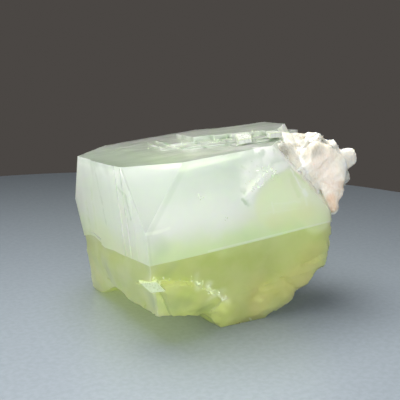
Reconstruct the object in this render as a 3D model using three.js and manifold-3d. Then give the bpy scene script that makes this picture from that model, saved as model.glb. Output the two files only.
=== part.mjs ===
// A pale green apophyllite crystal with a tuft of cream stilbite grown over its right-hand end.
//
// The crystal is built in its own frame, whose origin is the foot of the front left edge, at the waist
// where the upright prism faces end: x runs along the front face, y goes back into the crystal and z is
// its c axis. Two nested groups then lean it as it lies and put the part's origin under its middle.
import * as THREE from "three";
import { ConvexGeometry } from "three/addons/geometries/ConvexGeometry.js";
import { mergeVertices } from "three/addons/utils/BufferGeometryUtils.js";
import Module from "manifold-3d";

const wasm = await Module();
wasm.setup();

// ---- driving dimensions: millimetres and degrees ---------------------------------------------------------
const WIDTH = 43.3; // the front prism face, along x
const DEPTH = 42.5; // the left prism face, along y
const UPPER = 18.7; // from the waist up to the basal face
const AXIAL_RATIO = 15.77 / 8.96; // c over a of apophyllite, which sets how steep the corner facets are
const LEFT_LEG = 9.8; // how much of the front basal edge the left corner facet takes
const RIGHT_LEG = 13.2; // and the right corner facet
const BACK_LEG = 8; // and the one at the back right

const FACET_BACK = [-1.1, 8]; // x and y where the left corner facet leaves the basal and left faces
const LEFT_BACK_TOP = 33; // y where the left face ends behind, at the basal face
const LEFT_BACK_BULGE = { y: 38.6, z: 9 }; // where it reaches furthest back
const LEFT_BACK_WAIST = 36; // y where it ends at the waist

const LEAN_BACK = 6.75; // how far the c axis leans away from the front face
const RISE_RIGHT = 3.96; // how far the front face's long edges climb to the right
const REST_LEVEL = 16.9; // how far below the frame's origin the supporting surface lies

const FRONT_TAPER = 14; // how far the faces below the waist turn in
const LEFT_TAPER = 11;
const RIGHT_TAPER = 7;
const BACK_TAPER = 10;
const TUCK = 1; // the lower faces start this far up, a little behind the upright ones
const GAP = 0.3; // between the crystal and the stilbite grown against it

// Upright strips of the left face: where each starts along y, and how far it stands out.
const LEFT_STRIPS = [
  [-1, 0],
  [2.2, 0.3],
  [5, 0.6],
  [8, 1],
  [10.6, 1.5],
  [23.8, 0.1],
];
const PROUDEST = Math.max(...LEFT_STRIPS.map(([, out]) => out));

// Cleavage terraces on the basal face, each inside the one before: its height and its outline in x and y.
// An outline that runs past the crystal ends at the crystal's own faces.
const TERRACES = [
  {
    height: 0.35,
    outline: [
      [14.5, 19.5], [17.5, 17.5], [17.5, 15.5], [21.5, 14], [21.5, 12], [25.5, 11.2], [25.5, 6.5], [50, 5.5],
      [50, 32], [17, 32.5],
    ],
  },
  {
    height: 0.7,
    outline: [
      [17.5, 21], [22, 18.5], [22, 16], [26.5, 15], [26.5, 10.5], [31, 9.5], [31, 7.5], [50, 7.5],
      [50, 31], [18.5, 31],
    ],
  },
  {
    height: 1.7,
    outline: [
      [22, 18.6], [25.5, 17.6], [25.5, 15.6], [28.6, 15.2], [28.6, 13.2], [31.8, 12.8], [31.8, 10.9],
      [34.6, 10.5], [34.6, 8.8], [50, 8.4], [50, 21.5], [33, 26], [22.5, 28.3],
    ],
  },
];
const BASAL_RISE = 1; // degrees by which the basal face climbs to the back
const END_CRYSTAL = { low: [40.8, 13.8, 10], high: [46, 17.6, 18.9] }; // a small parallel one at the right

// Stilbite blades, in sheaves that spread like fans. Each sheaf has the point that it spreads from, the
// direction that it faces (0 is +x, 90 is +y), how thick its blades are, and for each blade the angle that
// it climbs at, its length, its width and its roll about its own length.
const SHEAVES = [
  {
    root: [40.4, 3.9, 10.5],
    heading: -5,
    thickness: 2.6,
    blades: [
      [55, 7.6, 5, 0], [31, 8.8, 5.4, 9], [6, 10, 5.6, -6], [-17, 9.6, 5.2, 7], [-38, 10.4, 4.6, -3],
      [-55, 11.4, 3, -6],
    ],
  },
  {
    root: [40.5, 6.2, 10.5],
    heading: 0,
    thickness: 3.1,
    blades: [
      [48, 9.6, 4.4, 12], [25, 11, 4.2, -10], [6, 14.9, 4.6, 4], [-14, 12.8, 3.6, 14], [-29, 12, 3.6, -12],
      [-51, 13, 3.4, 8],
    ],
  },
  {
    root: [40.5, 8.6, 10.2],
    heading: 7,
    thickness: 3.4,
    blades: [
      [42, 9.6, 4.8, -14], [19, 11.8, 4.4, 16], [-2, 13, 4.4, -8], [-22, 12.6, 4.2, 18], [-43, 12, 4.2, -10],
    ],
  },
  {
    root: [40.5, 11.2, 9.8],
    heading: 16,
    thickness: 3.7,
    blades: [[33, 10.4, 4.8, 20], [9, 11.8, 4.6, -18], [-13, 12.2, 4.6, 12], [-38, 11.6, 4.2, -20]],
  },
  {
    root: [40.5, 13.6, 9.4],
    heading: 27,
    thickness: 3.9,
    blades: [[22, 9.6, 4.6, -22], [-3, 11.2, 5, 18], [-27, 10.4, 4.6, -12]],
  },
  {
    root: [41, 16, 8.4],
    heading: 44,
    thickness: 3.6,
    blades: [[9, 7.4, 4.2, 20], [-18, 8, 4.4, -16]],
  },
];
const LUMPS = [
  { centre: [41.2, 10, 17], radii: [2.5, 2.5, 1.8] },
  { centre: [41.6, 7.2, 14.2], radii: [1.9, 2.2, 2.2] },
  { centre: [44.6, 9, 16.2], radii: [3, 3.4, 2.6] },
]; // rounded stilbite crust along the top of the right corner facet

// Conchoidal breaks scooped out of the underside: the middle and radius of each.
const BREAKS = [
  { middle: [20, 26, -34], radius: 22.6 },
  { middle: [4, 19, -31], radius: 19.8 },
  { middle: [42, 20, -30], radius: 19.8 },
  { middle: [19, 47, -25], radius: 14.6 },
];

const rad = THREE.MathUtils.degToRad;
const at = (x, y, z) => new THREE.Vector3(x, y, z);
const LEAN = new THREE.Euler(rad(-LEAN_BACK), rad(-RISE_RIGHT), 0, "YXZ");
const UP = at(0, 0, 1).applyMatrix4(new THREE.Matrix4().makeRotationFromEuler(LEAN).transpose());

// ---- solids ----------------------------------------------------------------------------------------------

// A closed three.js geometry as a solid that can be joined and cut.
function solid(geometry) {
  const bare = geometry.clone();
  bare.deleteAttribute("normal");
  bare.deleteAttribute("uv");
  const merged = mergeVertices(bare, 1e-4);
  return new wasm.Manifold(
    new wasm.Mesh({
      numProp: 3,
      vertProperties: new Float32Array(merged.attributes.position.array),
      triVerts: new Uint32Array(merged.index.array),
    }),
  );
}

// A solid's surface as a flat-shaded three.js geometry.
function surface(made) {
  const mesh = made.getMesh();
  const geometry = new THREE.BufferGeometry();
  geometry.setAttribute("position", new THREE.BufferAttribute(mesh.vertProperties, 3));
  geometry.setIndex(new THREE.BufferAttribute(mesh.triVerts, 1));
  const facets = geometry.toNonIndexed();
  facets.computeVertexNormals();
  return facets;
}

const join = (solids) => solids.reduce((all, next) => all.add(next));
const cut = (body, tools) => tools.reduce((left, tool) => left.subtract(tool), body);

// The largest connected body of a solid.
function mainBody(made) {
  return made.decompose().reduce((best, next) => (next.volume() > best.volume() ? next : best));
}

// A face through a point, whose outward normal has this azimuth (0 is +x, 90 is +y) and this rise.
function face(azimuth, rise, through) {
  const level = Math.cos(rad(rise));
  const normal = at(level * Math.cos(rad(azimuth)), level * Math.sin(rad(azimuth)), Math.sin(rad(rise)));
  return new THREE.Plane().setFromNormalAndCoplanarPoint(normal, through);
}

// A face through three points, with the middle of the crystal on its inner side.
function faceThrough(a, b, c) {
  const plane = new THREE.Plane().setFromCoplanarPoints(a, b, c);
  return plane.distanceToPoint(at(WIDTH / 2, DEPTH / 2, 0)) > 0 ? plane.negate() : plane;
}

// Where three planes meet, or null if two of them are parallel.
function meeting(a, b, c) {
  const bc = b.normal.clone().cross(c.normal);
  const det = a.normal.dot(bc);
  if (Math.abs(det) < 1e-9) return null;
  const ca = c.normal.clone().cross(a.normal);
  const ab = a.normal.clone().cross(b.normal);
  bc.multiplyScalar(-a.constant).addScaledVector(ca, -b.constant).addScaledVector(ab, -c.constant);
  return bc.divideScalar(det);
}

// The closed polyhedron inside all of these faces, each moved outwards by grow.
function polyhedron(faces, grow) {
  const planes = faces.map((p) => new THREE.Plane(p.normal, p.constant - grow));
  const corners = [];
  for (let i = 0; i < planes.length; i++)
    for (let j = i + 1; j < planes.length; j++)
      for (let k = j + 1; k < planes.length; k++) {
        const p = meeting(planes[i], planes[j], planes[k]);
        if (!p || planes.some((q) => q.distanceToPoint(p) > 1e-6)) continue;
        if (!corners.some((q) => q.distanceTo(p) < 1e-5)) corners.push(p);
      }
  return solid(new ConvexGeometry(corners));
}

// The convex lump that these corners span.
const lump = (corners) => solid(new ConvexGeometry(corners.map((p) => at(...p))));

const flat = (outline) => outline.map(([x, y]) => new THREE.Vector2(x, y));

// An upright block with this outline in x and y and with these holes, from z = low to z = high.
function slab(outline, low, high, holes = []) {
  const shape = new THREE.Shape(flat(outline));
  shape.holes = holes.map((hole) => new THREE.Path(flat(hole)));
  return new THREE.ExtrudeGeometry(shape, { depth: high - low, bevelEnabled: false }).translate(0, 0, low);
}

const rectangle = (x0, y0, x1, y1) => [[x0, y0], [x1, y0], [x1, y1], [x0, y1]];

// ---- the apophyllite crystal -----------------------------------------------------------------------------

// The height that a {101} facet loses along a prism edge for each millimetre of basal edge that it takes.
const DROP = AXIAL_RATIO / Math.SQRT2;
const summit = UPPER + TERRACES.at(-1).height;

const leftBulge = at(0, LEFT_BACK_BULGE.y, LEFT_BACK_BULGE.z);

const UPPER_FACES = [
  face(0, -90, at(0, 0, 0)),
  face(-90, 90 - BASAL_RISE, at(0, 0, summit)),
  face(-90, 0, at(0, 0, 0)),
  face(0, 0, at(WIDTH, 0, 0)),
  face(90, 0, at(0, DEPTH, 0)),
  face(180, 0, at(-PROUDEST, 0, 0)),
  faceThrough(at(LEFT_LEG, 0, UPPER), at(0, 0, UPPER - LEFT_LEG * DROP), at(...FACET_BACK, UPPER)),
  faceThrough(
    at(WIDTH - RIGHT_LEG, 0, UPPER),
    at(WIDTH, RIGHT_LEG, UPPER),
    at(WIDTH, 0, UPPER - RIGHT_LEG * DROP),
  ),
  faceThrough(
    at(WIDTH - BACK_LEG, DEPTH, UPPER),
    at(WIDTH, DEPTH - BACK_LEG, UPPER),
    at(WIDTH, DEPTH, UPPER - BACK_LEG * DROP),
  ),
  faceThrough(at(0, LEFT_BACK_TOP, UPPER), leftBulge, at(10, DEPTH, UPPER)),
  faceThrough(at(0, LEFT_BACK_WAIST, 0), leftBulge, at(9, DEPTH, 3)),
];

// The left face is bent below the waist, so it is two faces here. The last two are the broken underside.
const LOWER_FACES = [
  face(0, 90, at(0, 0, 0.8 * TUCK)),
  face(-90, -FRONT_TAPER, at(0, 0, TUCK)),
  face(0, -RIGHT_TAPER, at(WIDTH, 0, TUCK)),
  face(90, -BACK_TAPER, at(0, DEPTH, TUCK)),
  face(184, -LEFT_TAPER, at(0, 0, TUCK)),
  face(175, -LEFT_TAPER, at(-1, 24, TUCK)),
  faceThrough(at(0, LEFT_BACK_WAIST - 0.2, 0), at(1.8, 37.8, -12.8), at(9, DEPTH, 0)),
  faceThrough(at(1.2, 20.7, -8.5), at(4.6, 3, -12.1), at(12, 3.4, -13.5)),
  faceThrough(at(12, 3.4, -13.4), at(42.2, 2.5, -9.6), at(28, 36, -13.5)),
];

// The upper zone: the prism with its corner facets, the left face's strips and the basal terraces.
function upperZone(grow) {
  const body = polyhedron(UPPER_FACES, grow);
  const strips = LEFT_STRIPS.filter(([, out]) => out < PROUDEST).map(([start, out]) => {
    const end = LEFT_STRIPS.map(([y]) => y).find((y) => y > start) ?? 2 * DEPTH;
    return solid(slab(rectangle(-WIDTH, start, -out - grow, end), -UPPER, 2 * UPPER));
  });
  const levels = [0, ...TERRACES.map(({ height }) => height)];
  const cleaved = TERRACES.map(({ outline }, i) => {
    const away = slab(rectangle(-WIDTH, -DEPTH, 2 * WIDTH, 2 * DEPTH), 0, UPPER, [outline]);
    return solid(away.rotateX(rad(BASAL_RISE)).translate(0, 0, UPPER + levels[i] + grow));
  });
  return cut(body, [...strips, ...cleaved]);
}

// The small upright crystal in parallel growth at the right-hand end.
function endCrystal(grow) {
  const [x0, y0, z0] = END_CRYSTAL.low;
  const [x1, y1, z1] = END_CRYSTAL.high;
  return solid(slab(rectangle(x0, y0 - grow, x1 + grow, y1 + grow), z0 - grow, z1 + grow));
}

// Below the waist: tapering faces above a broken underside. The heel and the keel bulge a little past the
// tapered front face, and the keel and two feet behind it are what the crystal rests on.
function lowerZone() {
  const body = polyhedron(LOWER_FACES, 0);
  const heel = lump([
    [1.2, 20.7, -8.5], [0.5, 7.5, -4.5], [1.4, 0.5, -3.2], [7.6, 0.7, -4.9], [9.4, 0.9, -5.4],
    [16.4, 2.3, -11.2], [12, 3, -13.5], [4.6, 2.6, -12.1], [1.4, 8.6, -10.4], [1.5, 15.5, -10.6],
    [14, 18, -13], [12, 12, -4],
  ]);
  const keel = lump([
    [12, 3.2, -13.2], [16.4, 2.4, -11.2], [25.9, 2.4, -11.2], [31.7, 2.3, -10.9], [42.2, 2.4, -9.9],
    [16.3, 4.3, -18.2], [26.2, 4.4, -18.6], [33.3, 4, -16], [37.1, 3.5, -13.9],
    [15, 16, -17], [24, 17, -17], [38, 16, -11], [14, 20, -8], [38, 20, -8],
  ]);
  const leftFoot = lump([
    [1.2, 20.7, -8.5], [-0.6, 24, 0.2], [0.1, 35.6, 0.2], [1.6, 37.8, -14], [6, 39.5, -13.6], [9, 34, -14.2],
    [12, 24, -11], [12, 24, 0.2], [10, 39, 0.2],
  ]);
  const backFoot = lump([
    [25, 30, -9], [41.5, 27, -8], [41, 39.6, -8], [27, 40, -9], [31, 31.5, -16], [37, 30.6, -16],
    [38, 37, -16], [32.5, 38.6, -16],
  ]);
  const breaks = BREAKS.map(({ middle, radius }) =>
    solid(new THREE.SphereGeometry(radius, 44, 30).rotateX(rad(35)).translate(...middle)),
  );
  return cut(join([body, heel, keel, leftFoot, backFoot]), breaks);
}

function apophyllite() {
  const whole = join([upperZone(0), endCrystal(0), lowerZone()]);
  return mainBody(whole.trimByPlane(UP.toArray(), -REST_LEVEL));
}

// ---- the stilbite ----------------------------------------------------------------------------------------

// A blade that widens along +x from its root, where it is one with its sheaf, to a blunt rounded tip.
function blade(length, width, thickness) {
  const half = width / 2;
  const shape = new THREE.Shape();
  shape.moveTo(0, -0.6 * half);
  shape.lineTo(length - 1.2 * half, -half);
  shape.quadraticCurveTo(length - 0.1 * half, -half, length, -0.3 * half);
  shape.lineTo(length, 0.3 * half);
  shape.quadraticCurveTo(length - 0.1 * half, half, length - 1.2 * half, half);
  shape.lineTo(0, 0.6 * half);
  const bevel = 0.2 * thickness;
  return new THREE.ExtrudeGeometry(shape, {
    depth: thickness - 2 * bevel,
    bevelThickness: bevel,
    bevelSize: bevel,
    bevelOffset: -bevel,
    bevelSegments: 1,
    curveSegments: 4,
  }).translate(0, 0, -thickness / 2 + bevel);
}

// The blades of one sheaf: each stands on edge, is rolled, climbs at its own angle and faces the sheaf's way.
function sheaf({ root, heading, thickness, blades }) {
  return blades.map(([climb, length, width, roll]) => {
    const placed = blade(length, width, thickness).rotateX(rad(90 + roll)).rotateY(rad(-climb));
    return solid(placed.rotateZ(rad(heading)).translate(...root));
  });
}

function stilbite() {
  const blades = SHEAVES.flatMap(sheaf);
  const crust = LUMPS.map(({ centre, radii }) =>
    solid(new THREE.IcosahedronGeometry(1, 2).scale(...radii).translate(...centre)),
  );
  return mainBody(cut(join([...blades, ...crust]), [upperZone(GAP), endCrystal(GAP)]));
}

// ---- the part --------------------------------------------------------------------------------------------

const crystal = new THREE.Mesh(
  surface(apophyllite()),
  new THREE.MeshStandardMaterial({ color: 0xc4d7a9, roughness: 0.12, metalness: 0 }),
);
crystal.name = "apophyllite";

const tuft = new THREE.Mesh(
  surface(stilbite()),
  new THREE.MeshStandardMaterial({ color: 0xe6dcc8, roughness: 0.45, metalness: 0 }),
);
tuft.name = "stilbite";

const leaned = new THREE.Group();
leaned.rotation.copy(LEAN);
leaned.add(crystal, tuft);

const specimen = new THREE.Group();
specimen.add(leaned);
const middle = new THREE.Box3().setFromObject(specimen, true).getCenter(at(0, 0, 0));
leaned.position.set(-middle.x, -middle.y, REST_LEVEL);

export default specimen;
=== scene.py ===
"""Looks of a pale green apophyllite crystal with a tuft of cream stilbite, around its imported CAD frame.

The crystal has a frame of its own, in millimetres: x runs along the front prism face, y goes back into
the crystal and z is its c axis. Its origin is the foot of the front left edge, at the waist where the
upright prism faces end. Sizes below are in that frame unless they say otherwise.
"""

import logging
import math
from dataclasses import dataclass
from enum import Enum
from typing import Sequence

import bmesh
import bpy
import numpy as np
from bmesh.types import BMFace, BMLayerItem, BMVert, BMesh
from bpy.types import (
    GeometryNodeTree, Material, Mesh, Node, NodeInputs, NodeOutputs, NodeSocket, NodeTree, Object,
    ShaderNodeTree,
)
from mathutils import Euler, Matrix, Vector


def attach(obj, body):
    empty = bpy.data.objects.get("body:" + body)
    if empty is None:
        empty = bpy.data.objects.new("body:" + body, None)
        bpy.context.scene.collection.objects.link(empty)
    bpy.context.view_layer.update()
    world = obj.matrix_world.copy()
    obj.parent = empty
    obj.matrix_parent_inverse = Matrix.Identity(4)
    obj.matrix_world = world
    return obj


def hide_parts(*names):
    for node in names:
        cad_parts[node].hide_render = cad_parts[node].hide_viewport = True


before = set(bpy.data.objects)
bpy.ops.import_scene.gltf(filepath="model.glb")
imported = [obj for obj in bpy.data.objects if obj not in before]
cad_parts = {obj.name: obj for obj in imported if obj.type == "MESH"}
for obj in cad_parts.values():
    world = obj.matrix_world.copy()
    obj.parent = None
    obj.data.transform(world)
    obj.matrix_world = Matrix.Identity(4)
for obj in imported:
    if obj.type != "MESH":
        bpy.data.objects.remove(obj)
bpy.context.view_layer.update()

MM = 0.001
BODY = "root"
CRYSTAL_IOR = 1.535
STROKE_SEED = 300
FILM_SEED = 500
LOG = logging.getLogger("specimen")

Triple = tuple[float, float, float]
Display = tuple[int, int, int]
Paint = tuple[float, float, float, float]


# ---- small helpers ----


def paint(red: int, green: int, blue: int) -> Paint:
    """An 8-bit display colour as the linear colour that a socket takes."""

    def linear(c: int) -> float:
        """One channel, from display to linear."""
        s = c / 255
        return s / 12.92 if s <= 0.04045 else ((s + 0.055) / 1.055) ** 2.4

    return linear(red), linear(green), linear(blue), 1.0


def waves(points: np.ndarray, size: float | Triple, seed: int, octaves: int = 2) -> np.ndarray:
    """Smooth random relief of about -1 to 1, the same on every run.

    Args:
        points: an array of places, one row each.
        size: the wavelength, one number or one for each axis.
        seed: picks the pattern.
        octaves: how many finer layers are added up.

    Returns:
        The relief at each place.
    """
    draw = np.random.RandomState(seed)
    total, reach, weight = np.zeros(len(points)), 1.0, 0.0
    scaled = points / np.asarray(size, float)
    for _ in range(octaves):
        way = draw.normal(size=(14, 3))
        way *= (draw.uniform(0.7, 1.3, 14) / np.linalg.norm(way, axis=1))[:, None]
        total += reach * np.sin(2 * np.pi * (scaled @ way.T + draw.uniform(0, 1, 14))).sum(1) / 3.6
        weight += reach
        scaled, reach = scaled * 2.1, reach * 0.5
    return np.clip(total / weight, -1.6, 1.6)


def ramp(values: np.ndarray, low: float, high: float) -> np.ndarray:
    """Smoothstep of an array from 0 at low to 1 at high; high may be the lower number."""
    t = np.clip((values - low) / (high - low), 0, 1)
    return t * t * (3 - 2 * t)


def path_distance(points: np.ndarray, path: Sequence[Triple]) -> np.ndarray:
    """How far each point is from an open path.

    Args:
        points: an array of places, one row each.
        path: the path's corners; a single one is a point.

    Returns:
        The distances.
    """
    corners = np.asarray(path, float)
    best = np.linalg.norm(points - corners[0], axis=1)
    for start, end in zip(corners[:-1], corners[1:]):
        along = end - start
        t = np.clip((points - start) @ along / max(along @ along, 1e-9), 0, 1)
        best = np.minimum(best, np.linalg.norm(points - start - t[:, None] * along, axis=1))
    return best


def link_object(name: str, mesh: Mesh) -> Object:
    """A new object in the scene, at the origin."""
    made = bpy.data.objects.new(name, mesh)
    bpy.context.scene.collection.objects.link(made)
    return made


def with_modifiers(made: Object) -> Mesh:
    """A new mesh of an object as its modifiers leave it."""
    return bpy.data.meshes.new_from_object(made.evaluated_get(bpy.context.evaluated_depsgraph_get()))


@dataclass(frozen=True)
class Waves:
    """Random relief of one kind.

    Attributes:
        size: its wavelength in millimetres, one number or one for each axis.
        height: how far it stands out, in millimetres.
        seed: picks the pattern.
        octaves: how many finer layers it has.
    """

    size: float | Triple
    height: float
    seed: int
    octaves: int = 2

    def at(self, points: np.ndarray) -> np.ndarray:
        """Its height at each place."""
        return waves(points, self.size, self.seed, self.octaves) * self.height


@dataclass(frozen=True)
class CrystalFrame:
    """The crystal's own frame, and how it lies in the part's frame.

    Attributes:
        lean: turns about x and then y, in degrees.
        origin: its origin in the part's frame, in millimetres.
    """

    lean: tuple[float, float] = (-6.75, -3.96)
    origin: Triple = (-25.9135, -22.2453, 16.9)

    @property
    def turn(self) -> Euler:
        """The lean as a rotation."""
        return Euler((math.radians(self.lean[0]), math.radians(self.lean[1]), 0.0), "XYZ")

    @property
    def matrix(self) -> Matrix:
        """From crystal millimetres to part metres."""
        place = Matrix.Translation(Vector(self.origin) * MM)
        return place @ self.turn.to_matrix().to_4x4() @ Matrix.Scale(MM, 4)

    @property
    def inverse(self) -> Matrix:
        """From part metres to crystal millimetres."""
        return self.matrix.inverted()


LATTICE = CrystalFrame()


# ---- shader graphs ----


class Graph:
    """A thin layer over a node tree that adds nodes and links them in one call."""

    def __init__(self, tree: NodeTree) -> None:
        """Wraps the tree and empties it."""
        self.tree = tree
        tree.nodes.clear()

    def node(self, kind: str, inputs: dict | None = None, **settings: object) -> Node:
        """Adds a node.

        Args:
            kind: its type's name.
            inputs: a value or an output socket for each named or numbered input.
            settings: its own properties.

        Returns:
            The node.
        """
        made = self.tree.nodes.new(kind)
        for key, value in settings.items():
            setattr(made, key, value)
        for key, value in (inputs or {}).items():
            self.feed(made.inputs[key], value)
        return made

    def feed(self, socket: NodeSocket, value: object) -> None:
        """Links an output to a socket, or sets the socket's own value."""
        if isinstance(value, NodeSocket):
            self.tree.links.new(value, socket)
        else:
            socket.default_value = value

    def math(self, operation: str, *values: object) -> NodeSocket:
        """A Math node's result."""
        return self.node("ShaderNodeMath", dict(enumerate(values)), operation=operation).outputs[0]

    def vector(self, operation: str, *values: object, **named: object) -> NodeOutputs:
        """A Vector Math node's results."""
        ports = dict(enumerate(values)) | named
        return self.node("ShaderNodeVectorMath", ports, operation=operation).outputs

    def span(self, value: object, low: object, high: object, to_low: float = 0.0,
             to_high: float = 1.0) -> NodeSocket:
        """A value mapped softly from low..high to to_low..to_high, and held there."""
        ports = {"Value": value, "From Min": low, "From Max": high, "To Min": to_low, "To Max": to_high}
        return self.node("ShaderNodeMapRange", ports, interpolation_type="SMOOTHSTEP").outputs[0]

    def mix(self, share: object, first: object, second: object) -> NodeSocket:
        """Two colours mixed by share."""
        made = self.node("ShaderNodeMix", data_type="RGBA")
        for index, value in ((0, share), (6, first), (7, second)):
            self.feed(made.inputs[index], value)
        return made.outputs[2]

    def noise(self, place: object, scale: object, detail: object = 3.0) -> NodeSocket:
        """A noise texture's value."""
        ports = {"Vector": place, "Scale": scale, "Detail": detail, "Roughness": 0.55}
        return self.node("ShaderNodeTexNoise", ports).outputs[0]

    def effect(self, tree: ShaderNodeTree, inputs: dict | None = None) -> NodeOutputs:
        """Places a shared effect with its own values, and gives its results."""
        return self.node("ShaderNodeGroup", inputs, node_tree=tree).outputs

    def attribute(self, name: str) -> NodeSocket:
        """A float attribute of the mesh."""
        return self.node("ShaderNodeAttribute", attribute_name=name).outputs["Fac"]

    def split(self, vector: object) -> NodeOutputs:
        """A vector's x, y and z."""
        return self.node("ShaderNodeSeparateXYZ", {0: vector}).outputs

    def join(self, x: object = 0.0, y: object = 0.0, z: object = 0.0) -> NodeSocket:
        """A vector from its x, y and z."""
        return self.node("ShaderNodeCombineXYZ", {0: x, 1: y, 2: z}).outputs[0]

    def principled(self, ports: dict[str, object]) -> NodeSocket:
        """A Principled shader with these inputs."""
        return self.node("ShaderNodeBsdfPrincipled", ports).outputs[0]

    def surface(self, shader: NodeSocket) -> None:
        """Ends a material in this shader."""
        self.node("ShaderNodeOutputMaterial", {"Surface": shader})


def new_material(name: str) -> tuple[Material, Graph]:
    """An empty node material and its graph."""
    made = bpy.data.materials.new(name)
    made.use_nodes = True
    return made, Graph(made.node_tree)


# ---- effects that several finishes share ----


class Effects:
    """The shader node groups that the finishes share, each built once."""

    def __init__(self) -> None:
        """Builds them all."""
        self.clouding = self.make_clouding()
        self.zones = self.make_zones()
        self.streak = self.make_streak()

    @staticmethod
    def group(
        name: str, inputs: dict[str, tuple[str, object]], outputs: dict[str, str],
    ) -> tuple[ShaderNodeTree, Graph, NodeOutputs, NodeInputs]:
        """An empty shader group with its sockets.

        Args:
            name: the group's name.
            inputs: the socket type's last word and the default value for each named input.
            outputs: the socket type's last word for each named output.

        Returns:
            The group's tree, its graph, the values that come in and the sockets that go out.
        """
        tree = bpy.data.node_groups.new(name, "ShaderNodeTree")
        for key, (kind, value) in inputs.items():
            socket = tree.interface.new_socket(key, in_out="INPUT", socket_type=f"NodeSocket{kind}")
            socket.default_value = value
        for key, kind in outputs.items():
            tree.interface.new_socket(key, in_out="OUTPUT", socket_type=f"NodeSocket{kind}")
        g = Graph(tree)
        return tree, g, g.node("NodeGroupInput").outputs, g.node("NodeGroupOutput").inputs

    @staticmethod
    def place(g: Graph) -> NodeSocket:
        """The place on the piece in the crystal's frame, in millimetres."""
        ports = {
            "Vector": g.node("ShaderNodeTexCoord").outputs["Object"],
            "Location": Vector(LATTICE.origin) * MM,
            "Rotation": LATTICE.turn,
            "Scale": (MM, MM, MM),
        }
        return g.node("ShaderNodeMapping", ports, vector_type="TEXTURE").outputs[0]

    def make_clouding(self) -> ShaderNodeTree:
        """Soft clouds or fine grain: a noise stretched along the crystal's axes, and a mask cut from it."""
        tree, g, given, out = self.group(
            "clouding",
            {"Size": ("Float", 1.0), "Stretch": ("Vector", (1.0, 1.0, 1.0)), "Detail": ("Float", 3.0),
             "Low": ("Float", 0.35), "High": ("Float", 0.65)},
            {"Mask": "Float", "Height": "Float"},
        )
        spread = g.vector("DIVIDE", self.place(g), given["Stretch"])[0]
        scale = g.math("DIVIDE", 1.0, given["Size"])
        wave = g.noise(spread, scale, given["Detail"])
        g.feed(out["Mask"], g.span(wave, given["Low"], given["High"]))
        g.feed(out["Height"], wave)
        return tree

    def make_zones(self) -> ShaderNodeTree:
        """Growth zones along the c axis: three colours from the waist up, with borders that drift."""
        tree, g, given, out = self.group(
            "growth_zones",
            {**{zone: ("Color", (1, 1, 1, 1)) for zone in ("Foot", "Middle", "Crown")},
             "Middle Level": ("Float", 6.0), "Crown Level": ("Float", 18.0), "Drift": ("Float", 4.0)},
            {"Colour": "Color"},
        )
        place = self.place(g)
        wave = g.math("SUBTRACT", g.noise(place, 0.11, 3), 0.5)
        level = g.math("MULTIPLY_ADD", wave, g.math("MULTIPLY", given["Drift"], 2.0), g.split(place)[2])
        lower = g.mix(g.span(level, 0.0, given["Middle Level"]), given["Foot"], given["Middle"])
        share = g.span(level, given["Middle Level"], given["Crown Level"])
        g.feed(out["Colour"], g.mix(share, lower, given["Crown"]))
        return tree

    def make_streak(self) -> ShaderNodeTree:
        """A line from one place to another: a healed crack, a step or a scratch, or a painted line of shade
        or highlight.
        """
        tree, g, given, out = self.group(
            "streak",
            {"From": ("Vector", (0, 0, 0)), "To": ("Vector", (0, 0, 1)), "Reach": ("Float", 0.3),
             "Core": ("Float", 0.1), "Wander": ("Float", 0.2)},
            {"Mask": "Float"},
        )
        place = self.place(g)
        noise = g.node("ShaderNodeTexNoise", {"Vector": place, "Scale": 0.7, "Detail": 1.0})
        shake = g.vector("SUBTRACT", noise.outputs["Color"], (0.5, 0.5, 0.5))[0]
        shaken = g.vector("SCALE", shake, Scale=g.math("MULTIPLY", given["Wander"], 2.0))[0]
        here = g.vector("ADD", place, shaken)[0]
        way = g.vector("SUBTRACT", given["To"], given["From"])[0]
        off = g.vector("SUBTRACT", here, given["From"])[0]
        passed, whole = (g.vector("DOT_PRODUCT", one, way)["Value"] for one in (off, way))
        held = g.node("ShaderNodeClamp", {0: g.math("DIVIDE", passed, whole)}).outputs[0]
        reached = g.vector("SCALE", way, Scale=held)[0]
        far = g.vector("DISTANCE", off, reached)["Value"]
        g.feed(out["Mask"], g.span(far, given["Core"], given["Reach"], 1.0, 0.0))
        return tree


# ---- the crystal's faces ----


# where the specimen is seen from, in the crystal's frame, and that view's right, up and ahead
STANDPOINT: Triple = (-61.0, -146.41, 42.09)
SIGHT_LINES: tuple[Triple, ...] = (
    (0.87755, -0.46519, -0.11623), (0.18951, 0.11383, 0.97526), (0.44045, 0.87786, -0.18805),
)


class Facet(Enum):
    """The crystal's faces, as the number that each of their mesh faces carries."""

    LEFT = 1
    LEFT_CORNER = 2
    FRONT = 3
    TOP = 4
    RIGHT_CORNER = 5
    RIGHT = 6
    BACK = 7
    LOWER_FRONT = 8
    LOWER_LEFT = 9
    LOWER_BACK = 10
    BROKEN = 11
    RISER = 12


# ---- marks on the pieces ----


class Mark(Enum):
    """A soft mark on a piece; each is a float attribute of its mesh."""

    FROST = "frost"
    CLEAR = "clear"
    WARM = "warm"
    BRIGHT = "bright"
    SMOKE = "smoke_and_shade"
    FLAKES = "flakes"
    WHITE = "white"
    PEACH = "peach"
    AMBER = "amber"
    GLASSY = "glassy"


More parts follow.
